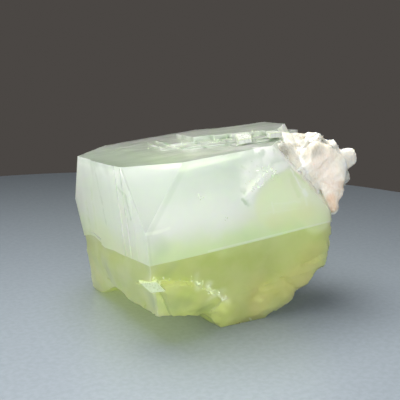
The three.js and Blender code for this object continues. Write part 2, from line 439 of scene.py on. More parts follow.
@dataclass(frozen=True)
class Stroke:
    """A soft mark along a path.

    Attributes:
        mark: what it does.
        path: its corners in the crystal's frame, in millimetres.
        reach: how far from the path it fades out, in millimetres.
        strength: how strong it is on the path.
        ragged: how much its border wanders, as a share of reach.
        soft: how wide its border is, as a share of reach.
    """

    mark: Mark
    path: tuple[Triple, ...]
    reach: float
    strength: float = 1.0
    ragged: float = 0.4
    soft: float = 1.25

    def weight(self, points: np.ndarray, seed: int) -> np.ndarray:
        """How strongly it marks each point."""
        wander = waves(points, max(self.reach * 1.6, 1.5), seed, 1) * self.ragged * self.reach
        border = self.reach * max(self.soft, 1.0)
        far = path_distance(points, self.path) + wander
        return self.strength * ramp(far, border, border - self.soft * self.reach)


def stroke_weights(strokes: Sequence[Stroke], at: np.ndarray) -> dict[str, np.ndarray]:
    """How strongly each kind of mark falls on each place.

    Args:
        strokes: the marks.
        at: an array of places in the crystal's frame, one row each.

    Returns:
        The weights by attribute name.
    """
    found = {stroke.mark.value: np.zeros(len(at)) for stroke in strokes}
    for seed, stroke in enumerate(strokes):
        key = stroke.mark.value
        found[key] = np.maximum(found[key], stroke.weight(at, STROKE_SEED + seed))
    return found


CRYSTAL_STROKES = (
    # the ledge below the front left edge, with its chips
    Stroke(Mark.FROST, ((-1.0, 0.9, -3.4), (2.0, 1.1, -4.2), (2.6, 1.4, -5.2)), 1.6, 0.3, 0.3),
    Stroke(Mark.FROST, ((9.8, 1.7, -5.8), (13.0, 2.2, -8.4), (16.6, 2.8, -11.0)), 1.8, 0.42, 0.4),
    Stroke(Mark.FLAKES, ((1.6, 1.0, -3.4), (2.4, 1.1, -3.7), (5.1, 1.2, -4.4), (7.5, 1.5, -5.5)),
           0.9, 0.35, 0.3),
    Stroke(Mark.FLAKES, ((9.4, 1.6, -5.6), (10.7, 1.7, -6.3), (13.0, 2.2, -8.5), (16.6, 2.8, -11.0)),
           1.0, 1.0, 0.3),
    # the veil that comes to the front face from inside, and the cloudy patch above it
    Stroke(Mark.FROST, ((23.4, 0, 9.6), (25.4, 0, 11.9), (28.0, 0, 13.2), (31.0, 0, 13.9), (33.7, 0, 14.3)),
           1.9, 0.9, 0.35),
    Stroke(Mark.FROST, ((24.2, 0, 14.2), (29.5, 0, 16.0), (35.0, 0, 16.4)), 4.2, 0.6, 0.3),
    Stroke(Mark.FROST, ((22.7, 0, 12.5), (22.6, 0, 8.4)), 1.6, 0.45, 0.4),
    Stroke(Mark.FLAKES, ((24.6, 0, 10.6), (27.9, 0, 12.7), (29.6, 0, 13.4)), 1.4, 0.5, 0.4),
    Stroke(Mark.FLAKES, ((0.4, 2.8, 16.9), (-0.1, 3.3, 13.4), (-1.1, 4.3, 9.9)), 0.5, 0.16, 0.4),
    # small white cleavage steps along the terraces of the basal face
    Stroke(Mark.FLAKES, ((25.0, 15.2, 19.6), (26.5, 14.0, 19.7), (28.4, 12.6, 19.7), (33.0, 10.6, 19.9)),
           0.9, 0.8, 0.4),
    Stroke(Mark.FLAKES, ((14.6, 24.6, 19.3), (16.0, 21.0, 19.4), (17.5, 17.6, 19.4)), 0.7, 0.35, 0.5),
    Stroke(Mark.FLAKES, ((17.5, 18.6, 19.5), (20.6, 19.2, 19.6)), 0.5, 0.3, 0.5),
    # lone specks on the front face
    Stroke(Mark.FLAKES, ((12.3, 0, 11.2), (12.7, 0, 11.2)), 0.45, 0.9, 0.0),
    Stroke(Mark.FLAKES, ((17.6, 0, 5.6), (17.8, 0, 6.0)), 0.4, 0.8, 0.0),
    Stroke(Mark.FLAKES, ((23.6, 0, 12.4), (24.4, 0, 14.6), (27.0, 0, 14.8)), 0.8, 0.3, 0.4),
    Stroke(Mark.SMOKE, ((22.6, 0, 10.6), (22.8, 0, 9.8)), 0.7, 0.6, 0.4),
    Stroke(Mark.SMOKE, ((23.0, 0, 8.4), (22.8, 0, 7.8)), 0.7, 0.6, 0.4),
    Stroke(Mark.SMOKE, ((25.0, 0, 12.9), (26.0, 0, 13.6)), 0.6, 0.5, 0.4),
    # the bruised corner where the front, the top and the right corner facet meet
    Stroke(Mark.FROST, ((27.2, 0, 18.9), (29.4, 0, 17.6), (29.0, 0, 16.5)), 1.6, 0.9, 0.5),
    Stroke(Mark.SMOKE, ((28.3, 0, 18.5), (29.0, 0, 18.6), (29.9, 0, 18.0)), 0.8, 0.8, 0.5),
    Stroke(Mark.SMOKE, ((30.5, 0, 18.6), (35.0, 0, 17.0)), 2.6, 0.35, 0.4),
    # the clearer green heart to the right, and the green foot below the left corner facet
    Stroke(Mark.CLEAR, ((31.4, 0, 8.0), (33.6, 0, 8.4), (37.0, 0, 6.0), (39.8, 0, 3.2)), 5.5, 0.9, 0.08, 0.3),
    Stroke(Mark.CLEAR, ((28.6, 0, 6.4), (32.0, 0, 7.4)), 5.6, 0.9, 0.08, 0.4),
    Stroke(Mark.CLEAR, ((25.0, 0, 3.0), (30.0, 0, 4.0)), 6.0, 0.6, 0.15),
    Stroke(Mark.CLEAR, ((44.0, 2.5, -1.0), (43.2, 3.0, -6.0), (40.8, 3.2, -10.0)), 1.7, 0.45, 0.3),
    Stroke(Mark.CLEAR, ((27.0, 0, 2.0), (34.0, 0, 3.4), (40.5, 0, 2.4)), 4.6, 0.6, 0.25),
    Stroke(Mark.SMOKE, ((1.0, 0, 4.6), (2.2, 0, 2.8), (1.4, 0, 1.0)), 3.2, 0.36, 0.2),
    Stroke(Mark.CLEAR, ((1.0, 0, 1.0), (10.0, 0, 0.6), (20.0, 0, 0.6)), 2.6, 0.35, 0.3),
    Stroke(Mark.SMOKE, ((1.6, 1.0, -0.9), (5.0, 1.0, -1.0), (2.6, 1.0, -2.2)), 1.9, 0.34, 0.25),
    Stroke(Mark.SMOKE, ((0.6, 2.0, -9.0), (2.6, 2.0, -9.4), (5.0, 2.0, -10.0)), 3.6, 0.6, 0.2),
    Stroke(Mark.SMOKE, ((4.0, 2.0, -7.0), (8.0, 2.0, -10.0), (13.0, 3.0, -12.5)), 2.6, 0.4, 0.3),
    # warm tints low on the right, and the smoky foot of the left face
    Stroke(Mark.WARM, ((24.0, 3.0, -13.5), (33.0, 2.6, -11.5), (40.0, 2.2, -8.0)), 4.6, 0.7, 0.5),
    Stroke(Mark.WARM, ((29.5, 0, 2.9), (38.0, 0, 3.4)), 3.0, 0.34, 0.3),
    Stroke(Mark.WARM, ((0.9, 33.5, -1.0), (1.5, 31.5, -8.0)), 3.0, 0.5, 0.4),
    # bright cleavage steps and smoky hollows on the basal face, and painted shade along its front and left
    # edges
    Stroke(Mark.BRIGHT, ((26.6, 6.6, 20), (31.2, 13.6, 20)), 2.0, 1.0, 0.15),
    Stroke(Mark.BRIGHT, ((31.4, 9.9, 20), (34.1, 9.9, 20)), 1.5, 0.85, 0.2),
    Stroke(Mark.BRIGHT, ((34.6, 8.9, 20), (36.2, 7.6, 20)), 1.3, 0.6, 0.2),
    Stroke(Mark.BRIGHT, ((35.6, 2.2, 20), (39.1, 2.5, 20)), 1.6, 0.9, 0.2),
    Stroke(Mark.BRIGHT, ((14.3, 26.8, 19), (20.0, 25.6, 19), (25.7, 17.6, 19)), 1.6, 0.7, 0.25),
    Stroke(Mark.BRIGHT, ((19.2, 35.9, 19), (21.1, 27.6, 19)), 2.2, 0.6, 0.3),
    Stroke(Mark.BRIGHT, ((18.3, 4.6, 19), (21.3, 4.1, 19), (25.1, 2.6, 19), (27.7, 0.6, 19)), 1.2, 0.6, 0.25),
    Stroke(Mark.SMOKE, ((22.0, 14.0, 19), (24.3, 12.6, 19), (29.1, 7.6, 19), (34.1, 5.2, 19)),
           1.7, 0.9, 0.25),
    # painted shade: a dark band along the basal face's front and left edges
    Stroke(Mark.SMOKE, ((3.0, 10.2, 19), (9.9, 7.6, 19), (15.4, 3.3, 19), (21.0, 0.6, 19)), 1.9, 0.5, 0.3),
    Stroke(Mark.SMOKE, ((-1.5, 25.0, 19), (0.2, 20.0, 19), (0.6, 9.2, 19)), 2.4, 0.7, 0.3),
    Stroke(Mark.SMOKE, ((28.0, 33.0, 20), (38.0, 26.0, 20), (44.0, 18.0, 20)), 4.5, 0.4, 0.3),
)

STILBITE_STROKES = (
    Stroke(Mark.WHITE, ((37.9, 4.4, 14.5), (40.0, 4.8, 13.4), (39.7, 3.6, 12.2)), 2.0, 1.0, 0.4),
    Stroke(Mark.WHITE, ((34.8, 0.5, 13.4), (37.4, 1.0, 11.4), (40.5, 1.0, 8.4), (43.0, 1.0, 5.0)),
           1.5, 0.9, 0.3),
    Stroke(Mark.WHITE, ((49.8, 5.0, 14.4), (51.8, 5.0, 13.6), (53.5, 4.6, 12.2), (50.0, 2.4, 11.2)),
           2.6, 1.0, 0.3),
    Stroke(Mark.GLASSY, ((43.4, 5.5, 17.6), (44.7, 4.4, 17.1), (46.4, 4.2, 16.6)), 1.9, 1.0, 0.4),
    Stroke(Mark.GLASSY, ((34.0, 1.0, 16.6), (37.0, 2.4, 17.6), (40.0, 3.4, 17.0)), 2.6, 0.9, 0.4),
    Stroke(Mark.GLASSY, ((47.0, 2.4, 15.8), (50.5, 4.6, 14.8)), 1.0, 0.8, 0.4),
    # greyer patches on the tuft's upper side: partly its own tone, partly painted shade against the overhead
    # light
    Stroke(Mark.SMOKE, ((33.5, 1.0, 17.0), (37.0, 2.2, 16.4), (39.6, 3.2, 16.2)), 2.4, 0.9, 0.3),
    Stroke(Mark.SMOKE, ((42.6, 8.4, 18.4), (42.8, 6.5, 17.2), (42.1, 2.5, 16.0)), 2.6, 1.0, 0.25),
    Stroke(Mark.SMOKE, ((42.0, 5.0, 18.0), (46.2, 5.0, 17.9)), 2.4, 1.0, 0.3),
    Stroke(Mark.GLASSY, ((51.4, 4.4, 9.2), (51.2, 4.9, 6.8)), 1.6, 0.9, 0.4),
    Stroke(Mark.PEACH, ((42.4, 2.4, 13.8), (43.2, 2.3, 12.2), (45.8, 2.0, 9.6), (44.9, 2.2, 6.6)),
           3.4, 0.85, 0.35),
    Stroke(Mark.AMBER, ((45.8, 2.0, 4.2), (45.6, 2.2, 1.0)), 2.0, 1.0, 0.4),
    Stroke(Mark.AMBER, ((48.0, 2.0, 6.6), (47.0, 2.2, 4.0)), 1.6, 0.5, 0.4),
)


class Tone(Enum):
    """What a streak is: a light line, a grey-green one, or a clear green one; some light ones are a painted
    highlight and some grey-green ones painted shade.
    """

    LIGHT = (248, 252, 244)
    SHADE = (150, 168, 146)
    GREEN = (196, 220, 148)


@dataclass(frozen=True)
class Streak:
    """A fine line on a face of the crystal.

    Attributes:
        tone: its colour.
        path: its corners in the crystal's frame, in millimetres.
        reach: how far from the path it fades out, in millimetres.
        strength: how strong it is.
        wander: how far it strays from the path, in millimetres.
    """

    tone: Tone
    path: tuple[Triple, ...]
    reach: float = 0.3
    strength: float = 0.6
    wander: float = 0.2

    def mask(self, g: Graph, effects: Effects) -> NodeSocket:
        """Adds the line to a material.

        Args:
            g: the material's graph.
            effects: the shared effects.

        Returns:
            Its mask.
        """
        total: object = None
        for start, end in zip(self.path[:-1], self.path[1:]):
            ports = {"From": start, "To": end, "Reach": self.reach, "Core": self.reach * 0.25,
                     "Wander": self.wander}
            one = g.effect(effects.streak, ports)["Mask"]
            total = one if total is None else g.math("MAXIMUM", total, one)
        return g.math("MULTIPLY", total, self.strength)


STREAKS = (
    # growth lines down the left face: the grey-green ones are painted shade, for the steps that the smoothing
    # took out of the face; the green ones are its own colour
    Streak(Tone.SHADE, ((-1.0, 21.4, 17.6), (-1.0, 21.0, 14.8), (-1.0, 20.1, 11.0), (-1.0, 19.2, 6.0)),
           0.8, 0.3, 0.6),
    Streak(Tone.SHADE, ((-0.8, 8.2, 18.0), (-0.8, 8.5, 14.2), (-0.8, 7.8, 8.8), (-0.8, 7.3, 5.4)),
           0.7, 0.4, 0.6),
    Streak(Tone.SHADE, ((-0.5, 9.7, 14.4), (-0.5, 7.0, 13.0), (-0.5, 5.6, 8.8)), 0.8, 0.35, 1.0),
    Streak(Tone.GREEN, ((-1.0, 26.7, 12.5), (-1.0, 27.4, 4.0)), 1.3, 0.4, 0.8),
    Streak(Tone.GREEN, ((-1.0, 31.0, 9.0), (-1.0, 31.4, 2.0)), 1.4, 0.4, 0.8),
    # the ledge at the foot of the left corner facet, and the edges above and below it
    # painted shade: a darker strip on the front face beside its edge with the left corner facet
    Streak(Tone.SHADE, ((0.9, 0, 6.4), (4.3, 0, 10.6), (11.2, 0, 19.3)), 0.9, 0.2, 0.1),
    Streak(Tone.LIGHT, ((-0.1, 0, 6.4), (2.4, 0, 6.3), (5.0, 0, 6.5)), 0.5, 0.8, 0.2),
    Streak(Tone.SHADE, ((0.5, 0, 5.9), (0.4, 0, 0.2)), 0.45, 0.2, 0.2),
    # the crack in the green heart, and faint cleavage lines
    Streak(Tone.LIGHT, ((34.2, 0, 13.0), (35.2, 0, 11.0), (36.3, 0, 8.6), (37.1, 0, 7.4)), 0.3, 0.7, 0.35),
    Streak(Tone.LIGHT, ((36.9, 0, 7.9), (37.3, 0, 7.0)), 0.85, 0.9, 0.1),
    Streak(Tone.LIGHT, ((37.1, 0, 7.4), (37.2, 0, 4.8)), 0.5, 0.3, 0.3),
    Streak(Tone.GREEN, ((34.0, 0, 12.0), (34.6, 0, 9.8), (35.6, 0, 7.2)), 0.8, 0.2, 0.6),
    Streak(Tone.GREEN, ((35.4, 0, 12.0), (38.6, 0, 8.9), (42.2, 0, 5.0)), 1.0, 0.4, 0.3),
    Streak(Tone.LIGHT, ((29.5, 0, 6.6), (35.7, 0, 5.8)), 0.35, 0.22, 0.3),
    Streak(Tone.LIGHT, ((28.8, 0, 7.0), (29.0, 0, 4.8)), 0.35, 0.3, 0.2),
    Streak(Tone.LIGHT, ((26.2, 0, 5.2), (36.5, 0, 4.4)), 0.3, 0.15, 0.3),
    # specks on the front face
    Streak(Tone.SHADE, ((22.7, 0, 10.2), (22.8, 0, 9.6)), 0.5, 0.9, 0.3),
    Streak(Tone.SHADE, ((22.1, 0, 8.9), (22.7, 0, 8.1)), 0.5, 0.9, 0.3),
    Streak(Tone.SHADE, ((22.6, 0, 15.6), (23.6, 0, 15.0)), 0.45, 0.6, 0.4),
    # a painted highlight along the foot of the front face, where its edge catches the light, and a scratch on
    # the broken zone
    Streak(Tone.LIGHT, ((13.0, 0, 0.15), (43.2, 0, 0.15)), 0.3, 0.45, 0.05),
    Streak(Tone.LIGHT, ((22.0, 3.6, -16.1), (23.3, 4.2, -18.1)), 0.35, 0.7, 0.1),
)


# ---- finishes ----


@dataclass(frozen=True)
class Tint:
    """What a mark does to the colour below it.

    Attributes:
        mark: the mark.
        share: how much of the colour it takes over where it is strongest.
        tone: its display colour.
    """

    mark: Mark
    share: float
    tone: Display

    def over(self, g: Graph, body: NodeSocket) -> NodeSocket:
        """The colour below with this tint over it."""
        share = g.math("MULTIPLY", g.attribute(self.mark.value), self.share)
        return g.mix(share, body, paint(*self.tone))


@dataclass(frozen=True)
class Zones:
    """Growth zones in three display colours.

    Attributes:
        foot: the colour at the waist.
        middle: the colour above it.
        crown: the colour at the top, which the front and the left corner facet darken as painted shade.
        level: where the middle zone begins, in millimetres above the waist.
        drift: how far the borders wander, in millimetres.
    """

    foot: Display
    middle: Display
    crown: Display
    level: float
    drift: float

    def colour(self, g: Graph, effects: Effects) -> NodeSocket:
        """Adds the zones to a material and gives their colour."""
        ports = {"Foot": paint(*self.foot), "Middle": paint(*self.middle), "Crown": paint(*self.crown),
                 "Middle Level": self.level, "Drift": self.drift}
        return g.effect(effects.zones, ports)["Colour"]


@dataclass(frozen=True)
class ApophylliteFinish:
    """Milky green crystal: see-through, with light scattered just under its faces.

    Attributes:
        clear: the share of light that goes straight through.
        glow: how much of a lamp's light passes into and through the crystal.
        scatter: how far light spreads inside, in millimetres, for each colour.
        front: the growth zones of the front, which the back shares; its darker crown is painted shade against
            the glow along the top edge.
        left: those of the left face.
        left_corner: those of the facet between the two, darkened above its foot as painted shade, since it
            faces the key light.
        tints: what each mark does, from the lowest one up.
    """

    clear: float = 0.5
    glow: float = 0.9
    scatter: Triple = (30.0, 36.0, 26.0)
    # the front's crown and the left corner facet above its foot are darker than the crystal's own colour:
    # painted shade
    front: Zones = Zones((210, 230, 184), (238, 240, 238), (195, 204, 198), 6.5, 2.4)
    left: Zones = Zones((240, 250, 216), (242, 250, 240), (230, 237, 233), 8.0, 4.0)
    left_corner: Zones = Zones((230, 240, 226), (208, 214, 208), (196, 202, 199), 8.0, 2.0)
    tints: tuple[Tint, ...] = (
        Tint(Mark.CLEAR, 0.7, (236, 244, 204)),
        Tint(Mark.WARM, 0.5, (222, 200, 136)),
        Tint(Mark.SMOKE, 0.7, (128, 146, 128)),
        Tint(Mark.BRIGHT, 0.8, (190, 192, 188)),
    )

    def faces(self, g: Graph, effects: Effects) -> NodeSocket:
        """The colour of every facet, before its marks; the basal face and its risers carry painted shade in
        it.
        """
        facet = g.attribute("facet")
        basal = g.effect(effects.clouding, {"Size": 3.2, "Stretch": (3.2, 0.8, 1.0), "Detail": 4.0})["Mask"]
        mottle = g.effect(effects.clouding, {"Size": 6.0, "Detail": 3.0})["Mask"]
        along = g.split(effects.place(g))[0]
        # the basal face's grey is partly its clearer colour and partly painted shade for the dark room that
        # it reflects; the risers' darker grey is painted shade against the overhead light that they catch
        top = g.mix(g.span(along, 2, 20), paint(176, 188, 177), paint(178, 179, 179))
        tones = {
            Facet.LEFT: self.left.colour(g, effects),
            Facet.LEFT_CORNER: self.left_corner.colour(g, effects),
            Facet.TOP: g.mix(basal, g.mix(0.5, top, paint(150, 168, 150)), top),
            Facet.RIGHT_CORNER: paint(240, 246, 234),
            Facet.LOWER_LEFT: g.mix(mottle, paint(204, 212, 142), paint(214, 218, 168)),
            Facet.RISER: g.mix(basal, paint(120, 136, 120), paint(176, 184, 174)),
        }
        lower = g.mix(mottle, paint(187, 197, 114), paint(197, 203, 133))
        below = g.math("GREATER_THAN", facet, Facet.BACK.value + 0.5)
        body = g.mix(below, self.front.colour(g, effects), lower)
        for kind, tone in tones.items():
            body = g.mix(g.math("COMPARE", facet, float(kind.value), 0.3), body, tone)
        return body

    def colour(self, g: Graph, effects: Effects) -> NodeSocket:
        """The colour under the faces: each facet's own, with the marks, lines and frosting over it, and with
        painted shade under the top edges and a painted highlight along the waist.
        """
        body = self.faces(g, effects)
        for tint in self.tints:
            body = tint.over(g, body)
        for tone in Tone:
            total: object = 0.0
            for streak in (one for one in STREAKS if one.tone is tone):
                total = g.math("MAXIMUM", total, streak.mask(g, effects))
            body = g.mix(total, body, paint(*tone.value))
        # painted shade: a darker brow under the top edge of the front and left faces, against the glow that
        # light scattered from the top face gives there; and a painted highlight: a light rim along the crisp
        # edges at the waist
        height = g.split(effects.place(g))[2]
        upright = g.math("LESS_THAN", g.attribute("facet"), Facet.FRONT.value + 0.5)
        painted_shade_brow = g.math("MULTIPLY", g.span(height, 17.6, 19.0, 0.0, 0.4), upright)
        body = g.mix(painted_shade_brow, body, paint(140, 156, 142))
        low = g.span(g.math("ABSOLUTE", height), 1.8, 0.8, 0.0, 0.3)
        rim = g.math("MULTIPLY", g.span(g.attribute("rim"), 0.55, 1.0), low)
        body = g.mix(rim, body, paint(250, 252, 236))
        return g.mix(g.math("MULTIPLY", self.frost(g, effects), 0.85), body, paint(252, 254, 251))

    @staticmethod
    def frost(g: Graph, effects: Effects) -> NodeSocket:
        """The frosted patches, broken up by fine clouds."""
        fine = g.effect(effects.clouding, {"Size": 1.6, "Detail": 3.0, "Low": 0.3, "High": 0.7})["Mask"]
        share = g.math("MULTIPLY_ADD", fine, 0.22, g.math("MULTIPLY", g.attribute("frost"), 1.3))
        return g.math("MULTIPLY", g.span(share, 0.0, 1.25), g.span(g.attribute("frost"), 0.0, 0.6))

    def build(self, effects: Effects) -> Material:
        """The crystal's material."""
        material, g = new_material("apophyllite")
        frost = self.frost(g, effects)
        ripples = {"Size": 1.6, "Stretch": (1.0, 1.0, 2.0), "Detail": 3.0}
        ripple = g.effect(effects.clouding, ripples)["Height"]
        bump = g.node("ShaderNodeBump", {"Strength": 0.08, "Distance": 0.1 * MM, "Height": ripple})
        along = g.split(effects.place(g))[0]
        shader = g.principled({
            "Base Color": self.colour(g, effects),
            "Roughness": g.span(frost, 0.0, 0.9, 0.285, 0.38),
            "Normal": bump.outputs[0],
            "IOR": CRYSTAL_IOR,
            "Transmission Weight": self.clear,
            "Subsurface Weight": 1.0,
            "Subsurface Radius": tuple(r * MM for r in self.scatter),
            "Subsurface Scale": g.span(along, 16, 34, 1.0, 0.3),
            "Coat Weight": 0.35,
            "Coat Roughness": 0.06,
            "Coat IOR": CRYSTAL_IOR,
        })
        share = g.math("MULTIPLY", g.node("ShaderNodeLightPath").outputs["Is Shadow Ray"],
                       g.span(along, 2, 34, self.glow, 0.05 * self.glow))
        passed = g.node("ShaderNodeBsdfTransparent", {"Color": paint(234, 236, 184)})
        both = g.node("ShaderNodeMixShader", {0: share, 1: shader, 2: passed.outputs[0]})
        soak = g.node("ShaderNodeVolumeAbsorption", {"Color": paint(212, 224, 182), "Density": 18.0})
        g.node("ShaderNodeOutputMaterial", {"Surface": both.outputs[0], "Volume": soak.outputs[0]})
        return material


@dataclass(frozen=True)
class FlakeFinish:
    """Fresh cleavage flakes: pale, glassy and bright.

    Attributes:
        name: the material's name.
        dull: the display colour of its cloudy patches.
        bright: the display colour between them.
        polish: the roughness of its smoothest patches.
        gloss: the weight of its clear top reflection.
    """

    name: str = "cleavage_flake"
    dull: Display = (204, 216, 180)
    bright: Display = (228, 236, 216)
    polish: float = 0.12
    gloss: float = 0.6

    def build(self, effects: Effects) -> Material:
        """The flakes' material."""
        material, g = new_material(self.name)
        cloud = g.effect(effects.clouding, {"Size": 0.7, "Detail": 3.0})
        tone = g.mix(cloud["Mask"], paint(*self.dull), paint(*self.bright))
        g.surface(g.principled({
            "Base Color": tone,
            "Roughness": g.span(cloud["Height"], 0.3, 0.7, self.polish, self.polish + 0.15),
            "IOR": CRYSTAL_IOR,
            "Coat Weight": self.gloss,
            "Coat Roughness": 0.04,
        }))
        return material


@dataclass(frozen=True)
class VeilFinish:
    """A thin white film of tiny bubbles inside the crystal.

    Attributes:
        thick: how solid its thickest patches look.
    """

    thick: float = 0.7

    def build(self, effects: Effects) -> Material:
        """The film's material."""
        material, g = new_material("veil")
        patches = g.effect(effects.clouding, {"Size": 5.0, "Detail": 2.0, "Low": 0.3, "High": 0.7})["Mask"]
        tone = g.mix(patches, paint(226, 242, 206), paint(246, 254, 238))
        solid = g.span(patches, 0, 1, 0.4 * self.thick, self.thick)
        alpha = g.math("MULTIPLY", solid, g.attribute("dense"))
        g.surface(g.principled({"Base Color": tone, "Alpha": alpha, "Roughness": 0.5}))
        return material


@dataclass(frozen=True)
class StilbiteFinish:
    """Cream to peach stilbite with a pearly sheen, glassy at its tips.

    Attributes:
        scatter: how far light spreads inside, in millimetres, for each colour.
        tints: what each mark does, from the lowest one up.
    """

    scatter: Triple = (5.0, 4.0, 3.0)
    tints: tuple[Tint, ...] = (
        Tint(Mark.PEACH, 0.85, (210, 197, 184)),
        Tint(Mark.AMBER, 0.9, (204, 172, 144)),
        Tint(Mark.WHITE, 1.0, (192, 192, 186)),
        Tint(Mark.GLASSY, 1.0, (146, 148, 142)),
        Tint(Mark.SMOKE, 0.85, (154, 153, 142)),
    )

    def build(self, effects: Effects) -> Material:
        """The tuft's material."""
        material, g = new_material("stilbite")
        cloud = g.effect(effects.clouding, {"Size": 2.6, "Detail": 5.0})
        grain = g.effect(effects.clouding, {"Size": 0.35, "Stretch": (1.0, 1.0, 2.5), "Detail": 3.0})
        specks = g.effect(effects.clouding, {"Size": 0.55, "Detail": 2.0, "Low": 0.56, "High": 0.64})["Mask"]
        body = g.mix(cloud["Mask"], paint(194, 188, 174), paint(204, 202, 190))
        for tint in self.tints:
            body = tint.over(g, body)
        glassy = g.attribute(Mark.GLASSY.value)
        dark = g.math("MULTIPLY", specks, glassy)
        body = g.mix(g.math("MULTIPLY", dark, 0.75), body, paint(96, 96, 84))
        body = g.mix(g.math("MULTIPLY", grain["Mask"], 0.12), body, paint(255, 250, 240))
        bump = g.node("ShaderNodeBump", {"Strength": 0.35, "Distance": 0.12 * MM, "Height": grain["Height"]})
        g.surface(g.principled({
            "Base Color": body,
            "Roughness": g.span(glassy, 0.0, 1.0, 0.46, 0.34),
            "Normal": bump.outputs[0],
            "IOR": 1.5,
            "Subsurface Weight": 0.8,
            "Subsurface Radius": tuple(r * MM for r in self.scatter),
            "Subsurface Scale": 1.0,
            "Coat Weight": 0.25,
            "Coat Roughness": 0.12,
        }))
        return material


# ---- what grows by rule ----


@dataclass(frozen=True)
class Growth:
    """Small flat crystals that stand on a surface where its mask attribute says so, by Geometry Nodes.

    Attributes:
        name: the finished piece's name.
        mask: the surface's float attribute that thins them out.
        density: how many stand on a square millimetre where the mask is 1.
        sides: how many sides each has.
        size: the length, width and thickness of the largest, in millimetres.
        least: the smallest one's size as a share of the largest one's.
        tilt: how far they lean from the surface's own direction, in degrees.
        sink: how much of the length stands below the surface.
        taper: how wide the tip is as a share of the foot.
        seed: picks the places and the turns.
    """

    name: str
    mask: str
    density: float
    sides: int
    size: Triple
    least: float
    tilt: float
    sink: float
    taper: float
    seed: int

    def tree(self, material: Material) -> tuple[GeometryNodeTree, dict[str, object]]:
        """Builds the node tree.

        Args:
            material: what the crystals are made of.

        Returns:
            The tree, and the value for each of its named inputs.
        """
        tree = bpy.data.node_groups.new(self.name, "GeometryNodeTree")
        for way in ("INPUT", "OUTPUT"):
            tree.interface.new_socket("Geometry", in_out=way, socket_type="NodeSocketGeometry")
        length, width, thickness = (v * MM for v in self.size)
        values = {
            "Density": ("Float", self.density / MM / MM),
            "Length": ("Float", length),
            "Width": ("Float", width),
            "Thickness": ("Float", thickness),
            "Least": ("Float", self.least),
            "Taper": ("Float", self.taper),
            "Tilt": ("Float", math.radians(self.tilt)),
            "Sink": ("Float", self.sink),
            "Seed": ("Int", self.seed),
            "Material": ("Material", material),
        }
        for key, (kind, _) in values.items():
            tree.interface.new_socket(key, in_out="INPUT", socket_type=f"NodeSocket{kind}")
        g = Graph(tree)
        given = g.node("NodeGroupInput").outputs
        mask = g.node("GeometryNodeInputNamedAttribute", {"Name": self.mask}, data_type="FLOAT").outputs[0]
        crowding, tip = g.math("MULTIPLY", mask, given["Density"]), g.math("MULTIPLY", given["Taper"], 0.5)
        spots = g.node("GeometryNodeDistributePointsOnFaces", {
            "Mesh": given["Geometry"], "Density": crowding, "Seed": given["Seed"],
        })
        stem = g.node("GeometryNodeMeshCone", {
            "Vertices": self.sides, "Radius Top": tip, "Radius Bottom": 0.5, "Depth": 1.0,
        })
        sunk = g.join(z=g.math("MULTIPLY", given["Sink"], -1.0))
        lowered = g.node("GeometryNodeTransform", {"Geometry": stem.outputs["Mesh"], "Translation": sunk})
        shape = g.join(given["Width"], given["Thickness"], given["Length"])
        blade = g.node("GeometryNodeTransform", {"Geometry": lowered.outputs[0], "Scale": shape})
        lean = g.math("MULTIPLY", given["Tilt"], -1.0)
        lows, highs = g.join(lean, lean), g.join(given["Tilt"], given["Tilt"], math.tau)
        turn = g.node("FunctionNodeRandomValue", {0: lows, 1: highs, "Seed": given["Seed"]},
                      data_type="FLOAT_VECTOR")
        spin = g.node("FunctionNodeRotateRotation", {0: spots.outputs["Rotation"], 1: turn.outputs[0]},
                      rotation_space="LOCAL")
        grown = g.node("FunctionNodeRandomValue", {2: given["Least"], 3: 1.0, "Seed": given["Seed"]},
                       data_type="FLOAT")
        crowd = g.node("GeometryNodeInstanceOnPoints", {
            "Points": spots.outputs["Points"], "Instance": blade.outputs[0], "Rotation": spin.outputs[0],
            "Scale": grown.outputs[1],
        })
        real = g.node("GeometryNodeRealizeInstances", {0: crowd.outputs[0]}).outputs[0]
        dressed = g.node("GeometryNodeSetMaterial", {"Geometry": real, "Material": given["Material"]})
        g.node("NodeGroupOutput", {0: dressed.outputs[0]})
        return tree, {key: value for key, (_, value) in values.items()}

    def grow(self, host: Object, material: Material) -> Object:
        """Runs the tree on a copy of the host and turns the result into a plain mesh.

        Args:
            host: the piece that the crystals stand on.
            material: what they are made of.

        Returns:
            The finished piece, not yet on a body.
        """
        tree, values = self.tree(material)
        made = link_object(self.name, host.data.copy())
        modifier = made.modifiers.new(self.name, "NODES")
        modifier.node_group = tree
        for item in tree.interface.items_tree:
            if item.in_out == "INPUT" and item.name in values:
                modifier[item.identifier] = values[item.name]
        mesh = with_modifiers(made)
        made.modifiers.clear()
        made.data = mesh
        return made


# ---- sub-assemblies ----


def merged_copy(node: str) -> BMesh:
    """A CAD node's solid as a closed mesh in crystal millimetres, with its flat faces whole again."""
    bm = bmesh.new()
    bm.from_mesh(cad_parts[node].data)
    bm.transform(LATTICE.inverse)
    bmesh.ops.remove_doubles(bm, verts=bm.verts, dist=1e-3)
    bmesh.ops.dissolve_limit(bm, angle_limit=math.radians(0.6), verts=bm.verts, edges=bm.edges)
    return bm


def finished_mesh(name: str, bm: BMesh, marks: dict[str, np.ndarray]) -> Object:
    """Turns a mesh in crystal millimetres into an object of the part's frame.

    Args:
        name: the object's name.
        bm: the mesh, which is freed.
        marks: values for every vertex, by attribute name.

    Returns:
        The object.
    """
    bm.transform(LATTICE.matrix)
    mesh = bpy.data.meshes.new(name)
    bm.to_mesh(mesh)
    bm.free()
    mesh.validate(clean_customdata=False)
    for key, values in marks.items():
        mesh.attributes.new(key, "FLOAT", "POINT").data.foreach_set("value", values.astype(np.float32))
    return link_object(name, mesh)


